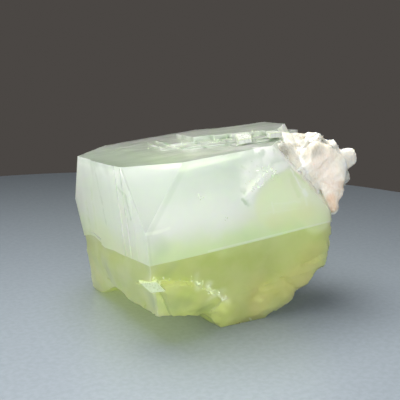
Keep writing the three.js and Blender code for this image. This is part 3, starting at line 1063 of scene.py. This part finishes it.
def crease(bm: BMesh, degrees: float) -> None:
    """Shades the mesh smooth, apart from edges that turn by more than this."""
    for edge in bm.edges:
        edge.smooth = len(edge.link_faces) == 2 and edge.calc_face_angle(0) < math.radians(degrees)
    for one in bm.faces:
        one.smooth = True


def draw_in(bm: BMesh, verts: Sequence[BMVert], axes: str = "xyz") -> None:
    """Smooths the mesh once: draws these vertices halfway to their neighbours, along these axes only."""
    ways = {f"use_axis_{axis}": axis in axes for axis in "xyz"}
    bmesh.ops.smooth_vert(bm, verts=verts, factor=0.5, **ways)


def closed_block(bm: BMesh, outer: Sequence[Vector], inner: Sequence[Vector]) -> list[BMFace]:
    """Adds a closed block to a mesh.

    Args:
        bm: the mesh.
        outer: the corners of its outer face.
        inner: the corners of its inner face, in the same order.

    Returns:
        Its faces.
    """
    front = [bm.verts.new(co) for co in outer]
    rear = [bm.verts.new(co) for co in inner]
    faces = [bm.faces.new(front), bm.faces.new(rear[::-1])]
    for k, corner in enumerate(front):
        after = (k + 1) % len(front)
        faces.append(bm.faces.new((rear[k], rear[after], front[after], corner)))
    return faces


@dataclass(frozen=True)
class Breakage:
    """Small flat faces that a wavy surface breaks into.

    Attributes:
        faces: how many there are.
        lean: how far they turn away from the surface, as a spread of their direction.
        limit: the most that a place counts as lying off its face, in millimetres.
        seed: picks the places and the turns.
    """

    faces: int
    lean: float
    limit: float
    seed: int

    def gaps(
        self, at: np.ndarray, out: np.ndarray, spots: np.ndarray, chance: np.ndarray | None = None,
    ) -> tuple[np.ndarray, np.ndarray]:
        """How far every place lies off the flat face that is nearest to it.

        Args:
            at: the vertices' places.
            out: their normals.
            spots: the vertices that a flat face may pass through.
            chance: how likely each of those is.

        Returns:
            The flat face's direction and the distance along it, for every place.
        """
        draw = np.random.RandomState(self.seed)
        picks = draw.choice(spots, self.faces, replace=False, p=chance)
        turned = out[picks] + draw.normal(scale=self.lean, size=(self.faces, 3))
        turned /= np.linalg.norm(turned, axis=1)[:, None]
        near = np.argmin(((at[:, None, :] - at[picks][None]) ** 2).sum(-1), axis=1)
        off = ((at - at[picks][near]) * turned[near]).sum(1)
        return turned[near], np.clip(off, -self.limit, self.limit)


@dataclass
class Apophyllite:
    """The crystal: its CAD solid cut into small cells, so that its faces can carry real relief.

    Attributes:
        effects: the shared shader effects.
        cell: how far apart the cuts are, in millimetres.
        sharp: a turn between faces above this many degrees is a sharp edge.
        left_share: how much of the left face's strips stands out here.
        soft_rounds: how often the broken belly is smoothed.
        wide_rounds: how many of those rounds take in the ledge on the left.
        crisp: a bend of the broken zone that turns by more than this many degrees stays as it is.
        strip_rounds: how often the left face's strips are smoothed.
        level_from: where the lower front is drawn onto its slope: right of this x and below this z.
        front_slope: how far back that slope lies: z and y.
        waist_rise: how far the waist climbs on the left face: y and the climb.
        ledge: the crest of the ledge under the front left edge.
        ledge_out: how far it stands out, in millimetres.
        strips: the soft growth strips on the left face.
        steps: the field that the basal face's cleavage steps are cut from, coarse and fine.
        step_height: how high one of those steps is, in millimetres.
        hills: the shallow hillocks on the front face.
        frosting: the roughness of its frosted patches.
        corner: the roughness of the right corner facet.
        shells: the shell-like waves of the broken zone, coarse and fine.
        bow: how far the foot of the front face bows down, in millimetres.
        chips: the small flat faces of its broken sides.
        hub: the place that the outline below turns about.
        outline: its broken right end's corners from the waist down, right and up as seen from STANDPOINT.
    """

    effects: Effects
    cell: float = 0.5
    sharp: float = 20.0
    left_share: float = 0.34
    soft_rounds: int = 26
    wide_rounds: int = 6
    crisp: float = 38.0
    strip_rounds: int = 24
    level_from: tuple[float, float] = (15.0, -3.0)
    front_slope: tuple[tuple[float, float], ...] = (
        (-18, 4.2), (-15, 3.45), (-11, 2.5), (-8, 1.85), (-4, 1.05), (-1, 0.45), (0, 0.0),
    )
    waist_rise: tuple[tuple[float, float], ...] = (
        (-2, 0.0), (2, 0.1), (12, 0.3), (17, 0.45), (22, 0.2), (25, 0.8), (28.6, 1.5), (33, 1.3), (36, 0.6),
    )
    ledge: tuple[Triple, ...] = (
        (1.2, 1.0, -3.4), (5.1, 1.2, -4.5), (10.7, 1.7, -6.4), (13.0, 2.2, -8.8), (16.6, 2.8, -11.3),
    )
    ledge_out: float = 0.75
    strips: Waves = Waves((9, 4.5, 40), 0.04, 12)
    steps: tuple[Waves, Waves] = (Waves((10, 2.6, 50), 1.0, 21, 3), Waves((4, 4, 50), 0.4, 22))
    step_height: float = 0.09
    hills: Waves = Waves((7, 7, 5), 0.03, 31)
    frosting: Waves = Waves(2.0, 0.02, 41)
    corner: Waves = Waves(2.2, 0.1, 51, 3)
    shells: tuple[Waves, Waves] = (Waves((7.5, 7.5, 5), 0.3, 61), Waves((2.6, 2.6, 1.6), 0.1, 62))
    bow: float = 0.22
    chips: Breakage = Breakage(170, 0.14, 0.7, 91)
    hub: Triple = (22.0, 2.0, -1.0)
    outline: tuple[tuple[float, float], ...] = (
        (15.52, -1.88), (15.53, -3.29), (15.41, -5.06), (14.94, -6.82), (14.76, -7.72), (13.76, -8.24),
        (13.18, -9.18), (12.59, -10.06), (11.41, -10.59), (10.82, -11.76), (9.53, -12.71), (7.88, -13.53),
        (6.0, -14.12), (4.0, -14.47), (2.82, -14.82),
    )

    def shape(self) -> Object:
        """Builds the refined mesh."""
        bm = merged_copy("apophyllite")
        self.slice(bm)
        facets = self.classify(bm)
        self.level_front(bm)
        self.soften(bm)
        self.relieve(bm, facets)
        bmesh.ops.triangulate(bm, faces=[f for f in bm.faces if len(f.verts) > 4])
        crease(bm, self.sharp)
        return finished_mesh("apophyllite_crystal", bm, self.marks(bm))

    def slice(self, bm: BMesh) -> None:
        """Cuts the mesh along planes that are cell apart, square to each axis."""
        low = [min(v.co[i] for v in bm.verts) for i in range(3)]
        high = [max(v.co[i] for v in bm.verts) for i in range(3)]
        for axis in range(3):
            normal = Vector([float(i == axis) for i in range(3)])
            steps = int((high[axis] - low[axis]) / self.cell)
            for k in range(1, steps + 1):
                place = normal * (low[axis] + k * self.cell + 0.013)
                geometry = bm.verts[:] + bm.edges[:] + bm.faces[:]
                bmesh.ops.bisect_plane(bm, geom=geometry, dist=1e-4, plane_co=place, plane_no=normal)

    @staticmethod
    def facet(normal: Vector, centre: Vector) -> Facet:
        """Which of the crystal's faces a mesh face is part of.

        Args:
            normal: its direction.
            centre: its middle, in the crystal's frame.

        Returns:
            The face.
        """
        # how much of a direction has to lie along an axis
        level, square, steep, turned = 0.97, 0.93, 0.4, 0.2
        below, terrace = centre.z < 0, centre.z > 18.2 and centre.y > 0.4
        if below and normal.z > steep:
            return Facet.BROKEN
        if normal.z > level:
            return Facet.TOP
        if terrace and normal.y < -0.6 and abs(normal.x) < 0.45:
            return Facet.RISER
        if terrace and centre.x > 1.5 and abs(normal.z) < turned and normal.x < 0.45 and normal.y < 0.6:
            return Facet.RISER
        if normal.y < -square:
            return Facet.LOWER_FRONT if below else Facet.FRONT
        if normal.x < -square:
            return Facet.LOWER_LEFT if below else Facet.LEFT
        if normal.z < -steep:
            return Facet.BROKEN
        if not below and normal.y < -turned and normal.x < -turned:
            return Facet.LEFT_CORNER if normal.z > turned else Facet.LEFT
        if not below and normal.y < -turned and normal.x > turned:
            return Facet.RIGHT_CORNER
        if normal.x > 0.9:
            return Facet.RIGHT
        return Facet.LOWER_BACK if below else Facet.BACK

    def classify(self, bm: BMesh) -> BMLayerItem:
        """Writes each mesh face's facet number to the attribute facet."""
        layer = bm.faces.layers.float.new("facet")
        bm.normal_update()
        for one in bm.faces:
            one[layer] = self.facet(one.normal, one.calc_center_median()).value
        return layer

    def level_front(self, bm: BMesh) -> None:
        """Draws the lower front, right of the ledge, onto one even slope."""
        (right_of, under), (heights, depths) = self.level_from, zip(*self.front_slope)
        for vert in bm.verts:
            x, y, z = vert.co
            slope = float(np.interp(z, heights, depths))
            if x > right_of and z < under and abs(y - slope) < 0.9:
                share = min((x - right_of) / 3, 1.0) * min((under - z) / 2, 1.0)
                vert.co.y += (slope - y) * share
        drawn = [v for v in bm.verts if v.co.x > right_of and v.co.z < under]
        bmesh.ops.remove_doubles(bm, verts=drawn, dist=0.06)

    def soften(self, bm: BMesh) -> None:
        """Rounds the shallow bends of the broken lower zone, and leaves its crisp edges."""
        bm.normal_update()
        soft = []
        for vert in bm.verts:
            turn = max(e.calc_face_angle(0) for e in vert.link_edges)
            x, y, z = vert.co
            belly = x > 16 and y < 8 and -14.5 < z < -3
            if z < -1.6 and (belly or turn < math.radians(self.crisp)):
                soft.append(vert)
        for turn in range(self.soft_rounds):
            draw_in(bm, soft if turn < self.wide_rounds else [v for v in soft if v.co.x > 12])
        layer, left = bm.faces.layers.float["facet"], Facet.LEFT.value
        upper = [v for v in bm.verts if v.co.z > 0.5]
        strips = [v for v in upper if all(round(f[layer]) == left for f in v.link_faces)]
        for _ in range(self.strip_rounds):
            draw_in(bm, strips, "x")

    def relieve(self, bm: BMesh, facets: BMLayerItem) -> None:
        """Moves the vertices to give each face its relief.

        Args:
            bm: the mesh, in crystal millimetres.
            facets: the layer with each face's facet number.
        """
        bm.normal_update()
        verts = bm.verts[:]
        at = np.array([v.co for v in verts])
        out = np.array([v.normal for v in verts])
        x, y, z = at.T
        share = {kind: np.zeros(len(verts)) for kind in Facet}
        for vert in verts:
            around = [Facet(round(f[facets])) for f in vert.link_faces]
            for kind in around:
                share[kind][vert.index] += 1 / len(around)
        rests = ramp((at @ np.array(LATTICE.matrix.to_3x3())[2] / MM) + LATTICE.origin[2], 0.05, 0.9)
        marks = stroke_weights(CRYSTAL_STROKES, at)

        # soft growth strips on the left face
        moved = (share[Facet.LEFT] * self.strips.at(at))[:, None] * out
        # shallow hillocks on the front face, rougher at the veil and the chips, and the rough corner facet
        front = share[Facet.FRONT] + share[Facet.LEFT_CORNER]
        rough = self.frosting.at(at) * np.clip(marks["frost"], 0, 1) * rests
        crust = share[Facet.RIGHT_CORNER] * self.corner.at(at)
        moved += (front * self.hills.at(at) + rough + crust)[:, None] * out
        # the broken lower zone: shell-like waves, stronger towards the bottom
        lower_front = share[Facet.LOWER_FRONT] + share[Facet.LOWER_LEFT]
        shells = sum(one.at(at) for one in self.shells) * (1 - 0.75 * lower_front * ramp(z, -15, -9))
        moved += (ramp(z, -0.6, -4.5) * rests * shells)[:, None] * out
        # cleavage steps along the basal face, which fade out towards the left
        field = sum(one.at(at) for one in self.steps)
        steps = np.floor(field * 2.4) / 2.4 * self.step_height + field * 0.02
        steps = steps * ramp(x + 0.25 * y, 9, 17) + 0.1 * marks["bright"]
        steps -= 0.2 * marks["smoke_and_shade"] * ramp(x, 14, 20)
        moved[:, 2] += share[Facet.TOP] * steps
        # the ledge under the front left edge stands out from the face above it
        below = np.interp(x, [p[0] for p in self.ledge], [p[2] for p in self.ledge]) - z
        near = lower_front * ramp(x, 19, 14) * ramp(x, -1.5, 1.0)
        moved[:, 1] -= near * ramp(below, -0.25, 0.35) * ramp(below, 7, 2.5) * self.ledge_out
        moved[:, 0] -= share[Facet.LOWER_LEFT] * ramp(z, -0.8, -4) * rests * 0.6
        # the left face: its strips stand out less, and its waist climbs to the back
        relief = self.left_share * ramp(y, 2.5, 7)
        moved[:, 0] -= np.minimum(x, 0) * (1 - relief) * ramp(z, -2.5, -0.4)
        moved[:, 2] += np.interp(y, *zip(*self.waist_rise)) * ramp(np.abs(z), 4.5, 0.5) * ramp(x, 6, 2)
        # the foot of the front face bows down a little in the middle
        sag = self.bow * np.sin(np.clip(x / 43, 0, 1) * math.pi)
        moved[:, 2] -= sag * ramp(np.abs(z), 3.0, 0.2) * ramp(y, 4, 0)
        at += moved
        broken = share[Facet.BROKEN] + share[Facet.LOWER_BACK] + lower_front * ramp(x, 34, 38)
        at = self.fracture(at, out, np.clip(broken, 0, 1) * rests * ramp(z, -0.8, -2.5))
        at = self.trim(at, rests * ramp(z, -0.3, -1.2))
        for vert, place in zip(verts, at):
            vert.co = place

    def trim(self, at: np.ndarray, share: np.ndarray) -> np.ndarray:
        """Draws the broken right end out to the stepped outline that it shows from the front left.

        Args:
            at: the vertices' places.
            share: how far each may move, from 0 to 1.

        Returns:
            The new places.
        """
        views = np.array(SIGHT_LINES)

        def seen(points: np.ndarray) -> np.ndarray:
            """Where points show from the standpoint, right and up, 100 mm in front of it."""
            right, up, ahead = views @ (np.atleast_2d(points) - STANDPOINT).T
            return 100 * np.stack([right, up], axis=1) / ahead[:, None]

        middle = seen(self.hub)

        def round_middle(places: np.ndarray) -> tuple[np.ndarray, np.ndarray]:
            """How far below level places lie round the middle, in degrees, and how far from it."""
            way = places - middle
            return np.degrees(np.arctan2(-way[:, 1], way[:, 0])), np.linalg.norm(way, axis=1)

        turn, reach = round_middle(seen(at))
        bins = np.arange(-20, 110, 2.0)
        now = [reach[np.abs(turn - one) < 2].max(initial=1.0) for one in bins]
        wanted = np.interp(turn, *round_middle(np.array(self.outline)))
        scale = wanted / np.interp(turn, bins, now)
        share = share * ramp(at[:, 1], 30, 20) * ramp(turn, 88, 76) * ramp(turn, -16, -11) * ramp(reach, 3, 8)
        at = at.copy()
        for axis in (0, 2):
            at[:, axis] += (at[:, axis] - self.hub[axis]) * (scale - 1) * share
        return at

    def fracture(self, at: np.ndarray, out: np.ndarray, share: np.ndarray) -> np.ndarray:
        """Breaks a wavy surface into small flat faces.

        Args:
            at: the vertices' places.
            out: their normals.
            share: how far each may move onto its flat face, from 0 to 1.

        Returns:
            The new places.
        """
        flat, off = self.chips.gaps(at, out, np.flatnonzero(share > 0.5))
        return at - flat * (off * share * 0.7)[:, None]

    @staticmethod
    def marks(bm: BMesh) -> dict[str, np.ndarray]:
        """Every vertex's marks and how near a crisp edge it is, by attribute name."""
        bm.normal_update()
        found = stroke_weights(CRYSTAL_STROKES, np.array([v.co for v in bm.verts]))
        # how crisp the nearest edge is; the finish paints a highlight from this along the waist
        rim = np.zeros(len(bm.verts))
        layer = bm.faces.layers.float["facet"]
        for edge in bm.edges:
            if not edge.smooth and len({round(one[layer]) for one in edge.link_faces}) > 1:
                turn = min(edge.calc_face_angle(0) / math.radians(70), 1.0)
                for vert in edge.verts:
                    rim[vert.index] = max(rim[vert.index], turn)
        found["rim"] = rim
        return found

    def build(self) -> list[Object]:
        """Makes the crystal and its flakes, dresses them and puts them in the frame."""
        piece = self.shape()
        piece.data.materials.append(ApophylliteFinish().build(self.effects))
        chips = Growth("cleavage_flakes", "flakes", 8.0, 4, (0.8, 0.3, 0.12), 0.3, 72, 0.5, 0.6, 5)
        flakes = chips.grow(piece, FlakeFinish().build(self.effects))
        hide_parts("apophyllite")
        for one in (piece, flakes):
            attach(one, BODY)
        return [piece, flakes]


@dataclass(frozen=True)
class Slab:
    """A small cleavage block or chip with flat faces.

    Attributes:
        ring: its outer face, corner by corner, in the crystal's frame.
        depth: where its inner face lies from there, in millimetres.
    """

    ring: tuple[Triple, ...]
    depth: Triple


@dataclass
class CleavageBlocks:
    """The small glassy blocks on the basal face's right end, and the fresh chip on the ledge.

    Attributes:
        effects: the shared shader effects.
        chips: how many of the first slabs are chips, which are greener than the blocks.
        slabs: every chip and block.
        flare: how much wider their inner faces are than their outer ones.
        bevel: how worn their edges are, in millimetres.
    """

    effects: Effects
    chips: int = 1
    slabs: tuple[Slab, ...] = (
        Slab(((-0.8, 4.3, -4.0), (0.63, -0.75, -3.1), (2.3, -0.75, -5.4), (0.0, 0.9, -5.5)), (0.9, 2.0, 0.0)),
        Slab(((33.6, 5.6, 20.4), (36.8, 6.0, 20.2), (37.2, 7.8, 20.3), (34.2, 7.8, 20.5)), (0.0, 0.3, -1.2)),
        Slab(((26.0, 6.2, 20.1), (29.6, 6.8, 20.0), (32.8, 12.0, 20.3), (29.4, 13.0, 20.4)),
             (0.0, 0.2, -1.0)),
    )
    flare: float = 1.12
    bevel: float = 0.12

    def build(self) -> list[Object]:
        """Makes the blocks, dresses them and puts them in the frame."""
        bm = bmesh.new()
        for number, slab in enumerate(self.slabs):
            ring = [Vector(co) for co in slab.ring]
            middle, depth = sum(ring, Vector()) / len(ring), Vector(slab.depth)
            for one in closed_block(bm, ring, [middle + (co - middle) * self.flare + depth for co in ring]):
                one.material_index = int(number >= self.chips)
        bmesh.ops.recalc_face_normals(bm, faces=bm.faces[:])
        bmesh.ops.bevel(bm, geom=bm.edges[:], offset=self.bevel, segments=2, affect="EDGES", profile=0.5)
        bmesh.ops.triangulate(bm, faces=bm.faces[:])
        crease(bm, 20)
        piece = finished_mesh("cleavage_blocks", bm, {})
        for finish in (FlakeFinish("cleavage_chip", (174, 186, 144), (188, 199, 162), 0.24),
                       FlakeFinish("cleavage_block", (190, 194, 186), (204, 208, 200), 0.24)):
            piece.data.materials.append(finish.build(self.effects))
        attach(piece, BODY)
        return [piece]


@dataclass(frozen=True)
class Film:
    """One thin film inside the crystal.

    Attributes:
        edge: its front edge, corner by corner, in the crystal's frame.
        run: how it goes on from there, in millimetres.
        wave: how far it undulates.
        seed: picks its waves.
    """

    edge: tuple[Triple, ...]
    run: Triple
    wave: float
    seed: int


@dataclass
class SealedVeils:
    """The films of tiny bubbles that healed cracks left inside the crystal.

    Attributes:
        effects: the shared shader effects.
        films: what is sealed in.
        step: how fine each film's mesh is, in millimetres.
        thick: how thick a film is in its middle, in millimetres.
    """

    effects: Effects
    films: tuple[Film, ...] = (
        Film(((22.4, 0.7, 8.4), (23.8, 0.6, 10.0), (25.6, 0.5, 11.5), (28.0, 0.5, 12.8), (31.0, 0.5, 13.4),
              (34.0, 0.6, 13.8)), (-0.8, 6.5, 1.6), 0.2, 1),
        Film(((34.4, 0.7, 12.4), (36.0, 0.7, 8.6), (37.0, 0.7, 4.0)), (-2.4, 6.0, 0.5), 0.25, 2),
        Film(((6.0, 5.5, 16.6), (14.0, 4.0, 16.8), (30.0, 4.0, 17.6)), (1.0, 28.0, 0.0), 0.3, 5),
        Film(((10.4, 3.4, -6.0), (13.0, 3.8, -8.4), (16.6, 4.6, -10.6)), (1.0, 5.0, 1.6), 0.25, 6),
    )
    step: float = 0.7
    thick: float = 0.08

    def film(self, bm: BMesh, film: Film) -> list[float]:
        """Adds one closed film to the mesh: two skins that meet along its border.

        Args:
            bm: the mesh, in crystal millimetres.
            film: the film's shape.

        Returns:
            How dense it is at each new vertex, from 1 at its front edge to 0 at its other borders.
        """
        corners = np.array(film.edge, float)
        spans = np.linalg.norm(np.diff(corners, axis=0), axis=1)
        total, run = spans.sum(), np.array(film.run)
        columns, rows = max(4, round(total / self.step)), max(4, round(np.linalg.norm(run) / self.step))
        marks = np.concatenate([[0.0], np.cumsum(spans)])
        u, v = np.meshgrid(np.linspace(0, 1, columns + 1), np.linspace(0, 1, rows + 1), indexing="ij")
        edge = np.stack([np.interp(u * total, marks, corners[:, i]) for i in range(3)], axis=-1)
        at = (edge + v[..., None] * run).reshape(-1, 3)
        across = np.cross(corners[-1] - corners[0], run)
        across /= np.linalg.norm(across)
        at += (waves(at, 6.0, FILM_SEED + film.seed, 3) * film.wave)[:, None] * across
        inside = (4 * u * (1 - u) * 4 * v * (1 - v)).reshape(-1) ** 0.5
        lift = (inside * self.thick / 2)[:, None] * across
        rim = inside < 1e-9
        dense = ((1 - v) ** 1.5 * np.clip(6 * u * (1 - u), 0, 1)).reshape(-1)
        skins, found = [], []
        for side in (1, -1):
            skin = at + side * lift
            made = [None if border and side < 0 else bm.verts.new(co) for border, co in zip(rim, skin)]
            skins.append([v0 if v0 is not None else skins[0][i] for i, v0 in enumerate(made)])
            found += [float(dense[i]) for i, v0 in enumerate(made) if v0 is not None]
        for skin, way in zip(skins, (1, -1)):
            for i, j in np.ndindex(columns, rows):
                first, after = i * (rows + 1) + j, (i + 1) * (rows + 1) + j
                quad = [skin[k] for k in (first, after, after + 1, first + 1)[::way]]
                if len(set(quad)) == 4 and bm.faces.get(quad) is None:
                    bm.faces.new(quad)
        return found

    def build(self) -> list[Object]:
        """Makes the films, dresses them and puts them in the frame."""
        bm = bmesh.new()
        dense = [one for film in self.films for one in self.film(bm, film)]
        bmesh.ops.recalc_face_normals(bm, faces=bm.faces[:])
        crease(bm, 60)
        piece = finished_mesh("sealed_veils", bm, {"dense": np.array(dense)})
        piece.data.materials.append(VeilFinish().build(self.effects))
        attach(piece, BODY)
        return [piece]


@dataclass
class Stilbite:
    """The tuft of stilbite: a radiating mass, broken into blocks, with small blades along its rim.

    Attributes:
        effects: the shared shader effects.
        voxel: how fine its mesh is, in millimetres.
        root: where its blades spread from, in the crystal's frame.
        rounds: how often the mass is smoothed in front; behind it is three times this.
        ribs: the ribs that spread from the root; the size is in directions, not millimetres.
        blocks: its broken faces.
        flat: how flat those are in front and behind, from 0 to 1.
        grain: the fine roughness all over it.
        crust: how far its crust stands out from the crystal's right corner facet, in millimetres.
        crust_shift: where the crust's middle lies from the facet's.
        crust_size: how wide its outer and inner faces are, as shares of the facet.
        crust_root: how deep it reaches into the crystal, in millimetres.
    """

    effects: Effects
    voxel: float = 0.26
    root: Triple = (37.5, 9.0, 9.5)
    rounds: int = 24
    ribs: Waves = Waves(0.34, 1.0, 71)
    blocks: Breakage = Breakage(150, 0.16, 0.8, 72)
    flat: tuple[float, float] = (0.28, 0.95)
    grain: Waves = Waves(0.9, 0.05, 73)
    crust: float = 1.1
    crust_shift: Triple = (1.2, 1.4, -1.2)
    crust_size: tuple[float, float] = (0.58, 0.95)
    crust_root: float = 0.8

    def mass(self) -> BMesh:
        """The CAD solid as one even skin, in crystal millimetres."""
        rough = merged_copy("stilbite")
        self.add_crust(rough)
        mesh = bpy.data.meshes.new("stilbite_rough")
        rough.to_mesh(mesh)
        rough.free()
        made = link_object("stilbite_rough", mesh)
        skin = made.modifiers.new("skin", "REMESH")
        skin.mode, skin.voxel_size = "VOXEL", self.voxel
        even = with_modifiers(made)
        bpy.data.objects.remove(made)
        bm = bmesh.new()
        bm.from_mesh(even)
        return bm

    def add_crust(self, bm: BMesh) -> None:
        """Adds the crust over the crystal's right corner facet, as closed slabs under the skin."""
        crystal = merged_copy("apophyllite")
        crystal.normal_update()
        for one in crystal.faces:
            if Apophyllite.facet(one.normal, one.calc_center_median()) is not Facet.RIGHT_CORNER:
                continue
            middle = one.calc_center_median() + Vector(self.crust_shift)
            ways = [v.co - middle for v in one.verts]
            outer, inner = (
                [middle + way * size + one.normal * lift for way in ways]
                for size, lift in zip(self.crust_size, (self.crust, -self.crust_root))
            )
            closed_block(bm, outer, inner)
        crystal.free()

    def break_up(self, at: np.ndarray, out: np.ndarray) -> np.ndarray:
        """Moves a smooth skin's vertices to give it ribs, broken faces and grain.

        Args:
            at: the vertices' places.
            out: their normals.

        Returns:
            The new places.
        """
        way = at - np.array(self.root)
        way /= np.linalg.norm(way, axis=1)[:, None]
        behind = ramp(at[:, 1], 4.5, 8.0)
        ribs = 0.5 - np.abs(self.ribs.at(way))
        at = at + out * (0.03 + ribs * (0.15 + 0.33 * behind))[:, None]
        chance = (1 + 5 * behind) * (0.05 + 0.95 * ramp(at[:, 0] + at[:, 1], 43, 46))
        flat, off = self.blocks.gaps(at, out, np.arange(len(at)), chance / chance.sum())
        front, rear = self.flat
        at = at - flat * (off * (front + (rear - front) * behind))[:, None]
        return at + out * self.grain.at(at)[:, None]

    def shape(self) -> Object:
        """Builds the mass."""
        bm = self.mass()
        behind = [v for v in bm.verts if v.co.y > 6]
        for turn in range(self.rounds * 3):
            draw_in(bm, bm.verts if turn < self.rounds else behind)
        bm.normal_update()
        at = self.break_up(np.array([v.co for v in bm.verts]), np.array([v.normal for v in bm.verts]))
        for vert, place in zip(bm.verts, at):
            vert.co = place
        bm.normal_update()
        bmesh.ops.triangulate(bm, faces=bm.faces[:])
        crease(bm, 32)
        marks = stroke_weights(STILBITE_STROKES, at)
        marks["blades"] = np.clip(marks["glassy"] + 0.3 * ramp(at[:, 1], 6, 14), 0, 1)
        return finished_mesh("stilbite_tuft", bm, marks)

    def build(self) -> list[Object]:
        """Makes the tuft and its blades, dresses them and puts them in the frame."""
        piece = self.shape()
        finish = StilbiteFinish().build(self.effects)
        piece.data.materials.append(finish)
        spray = Growth("stilbite_blades", "blades", 1.1, 6, (1.0, 0.5, 0.2), 0.35, 40, 0.5, 0.5, 9)
        pearly = FlakeFinish("stilbite_blade", (158, 155, 145), (176, 173, 163), 0.4, 0.05)
        blades = spray.grow(piece, pearly.build(self.effects))
        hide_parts("stilbite")
        for one in (piece, blades):
            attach(one, BODY)
        return [piece, blades]


@dataclass(frozen=True)
class Panel:
    """One soft panel light.

    Attributes:
        name: its name.
        place: where it hangs, in millimetres from the middle of the part, along right, away and up.
        aim: what it points at, in the same way.
        size: its width and height, in millimetres.
        power: in watts.
        tone: its display colour.
        spread: the angle that its light keeps to, in degrees.
    """

    name: str
    place: Triple
    aim: Triple
    size: tuple[float, float]
    power: float
    tone: Display = (250, 252, 255)
    spread: float = 180.0


@dataclass
class Studio:
    """The table, the light and the camera.

    Attributes:
        azimuth: the way the camera looks, in degrees clockwise from +y.
        drop: how far it looks down, in degrees.
        eye: where it stands in the part's frame, in millimetres.
        lens: its focal length for a 36 mm frame.
        table_reach: the round table's radius, in millimetres.
        table_middle: its middle, to the right of the part's and beyond it, in millimetres.
        table_thick: how thick it is, in millimetres.
        panels: an overhead light, one to the front left and one in front.
    """

    azimuth: float = 28.4
    drop: float = 15.0
    eye: Triple = (-90.84, -162.69, 71.55)
    lens: float = 76.5
    table_reach: float = 154.9
    table_middle: tuple[float, float] = (-27.9, -33.5)
    table_thick: float = 8.0
    panels: tuple[Panel, ...] = (
        Panel("window", (-50, 10, 250), (0, -115, 0), (200, 200), 0.55, (255, 253, 250), 95),
        Panel("key", (-230, -250, 140), (0, -30, 5), (180, 130), 0.4),
        Panel("fill", (40, -316, 102), (0, 0, 15), (240, 100), 1.06),
    )

    def build(self) -> None:
        """Makes all of it."""
        self.camera()
        self.table()
        for panel in self.panels:
            self.lamp(panel)
        self.room()
        bpy.context.scene.view_settings.view_transform = "Standard"

    def camera(self) -> None:
        """The camera, at the height and side that the piece is seen from."""
        data = bpy.data.cameras.new("camera")
        data.lens, data.sensor_width = self.lens, 36.0
        data.clip_start = 0.001
        made = bpy.data.objects.new("camera", data)
        made.location = Vector(self.eye) * MM
        made.rotation_euler = (math.radians(90 - self.drop), 0, math.radians(-self.azimuth))
        bpy.context.scene.collection.objects.link(made)
        bpy.context.scene.camera = made

    def table(self) -> None:
        """A plain pale round table top."""
        bm, reach = bmesh.new(), self.table_reach * MM
        bmesh.ops.create_cone(bm, cap_ends=True, segments=192, radius1=reach, radius2=reach,
                              depth=self.table_thick * MM)
        bm.transform(Matrix.Translation(Vector((*self.table_middle, -self.table_thick / 2)) * MM))
        bm.transform(Matrix.Rotation(math.radians(-self.azimuth), 4, "Z"))
        mesh = bpy.data.meshes.new("table")
        bm.to_mesh(mesh)
        bm.free()
        made = link_object("table", mesh)
        material, g = new_material("table")
        place = g.node("ShaderNodeTexCoord").outputs["Object"]
        grain = g.noise(place, 900, 3)
        tone = g.mix(g.span(grain, 0.3, 0.7), paint(112, 120, 126), paint(119, 127, 134))
        g.surface(g.principled({"Base Color": tone, "Roughness": 0.36}))
        mesh.materials.append(material)

    def lamp(self, panel: Panel) -> None:
        """Hangs one soft panel light."""
        data = bpy.data.lights.new(panel.name, "AREA")
        data.shape, data.size, data.size_y = "RECTANGLE", panel.size[0] * MM, panel.size[1] * MM
        data.energy, data.color, data.spread = panel.power, paint(*panel.tone)[:3], math.radians(panel.spread)
        made = bpy.data.objects.new(panel.name, data)
        turn = Matrix.Rotation(math.radians(-self.azimuth), 3, "Z")
        start, end = turn @ Vector(panel.place), turn @ Vector(panel.aim)
        made.location = start * MM
        made.rotation_euler = (end - start).to_track_quat("-Z", "Y").to_euler()
        bpy.context.scene.collection.objects.link(made)

    def room(self) -> None:
        """A room that is dark low down and bright above, and brighter behind the camera."""
        world = bpy.data.worlds.new("room")
        bpy.context.scene.world = world
        world.use_nodes = True
        g = Graph(world.node_tree)
        way = g.split(g.node("ShaderNodeTexCoord").outputs["Generated"])
        turn = math.radians(self.azimuth)
        across = g.math("MULTIPLY", way[0], -math.sin(turn))
        ahead = g.math("ADD", across, g.math("MULTIPLY", way[1], -math.cos(turn)))
        height = g.span(way[2], 0.1, 0.5)
        share = g.math("MULTIPLY", g.span(g.math("ADD", ahead, way[2]), 0.0, 1.1), height)
        room = g.mix(share, paint(100, 95, 91), paint(228, 231, 235))
        back = g.node("ShaderNodeBackground", {"Color": room, "Strength": 0.55})
        g.node("ShaderNodeOutputWorld", {"Surface": back.outputs[0]})


# ---- the scene ----


def main() -> None:
    """Builds the specimen, then the studio around it."""
    logging.basicConfig(level=logging.INFO, format="%(name)s: %(message)s")
    Studio().build()
    effects = Effects()
    for assembly in (Apophyllite(effects), CleavageBlocks(effects), SealedVeils(effects), Stilbite(effects)):
        for piece in assembly.build():
            LOG.info("%s: %d faces", piece.name, len(piece.data.polygons))


if __name__ == "__main__":
    main()
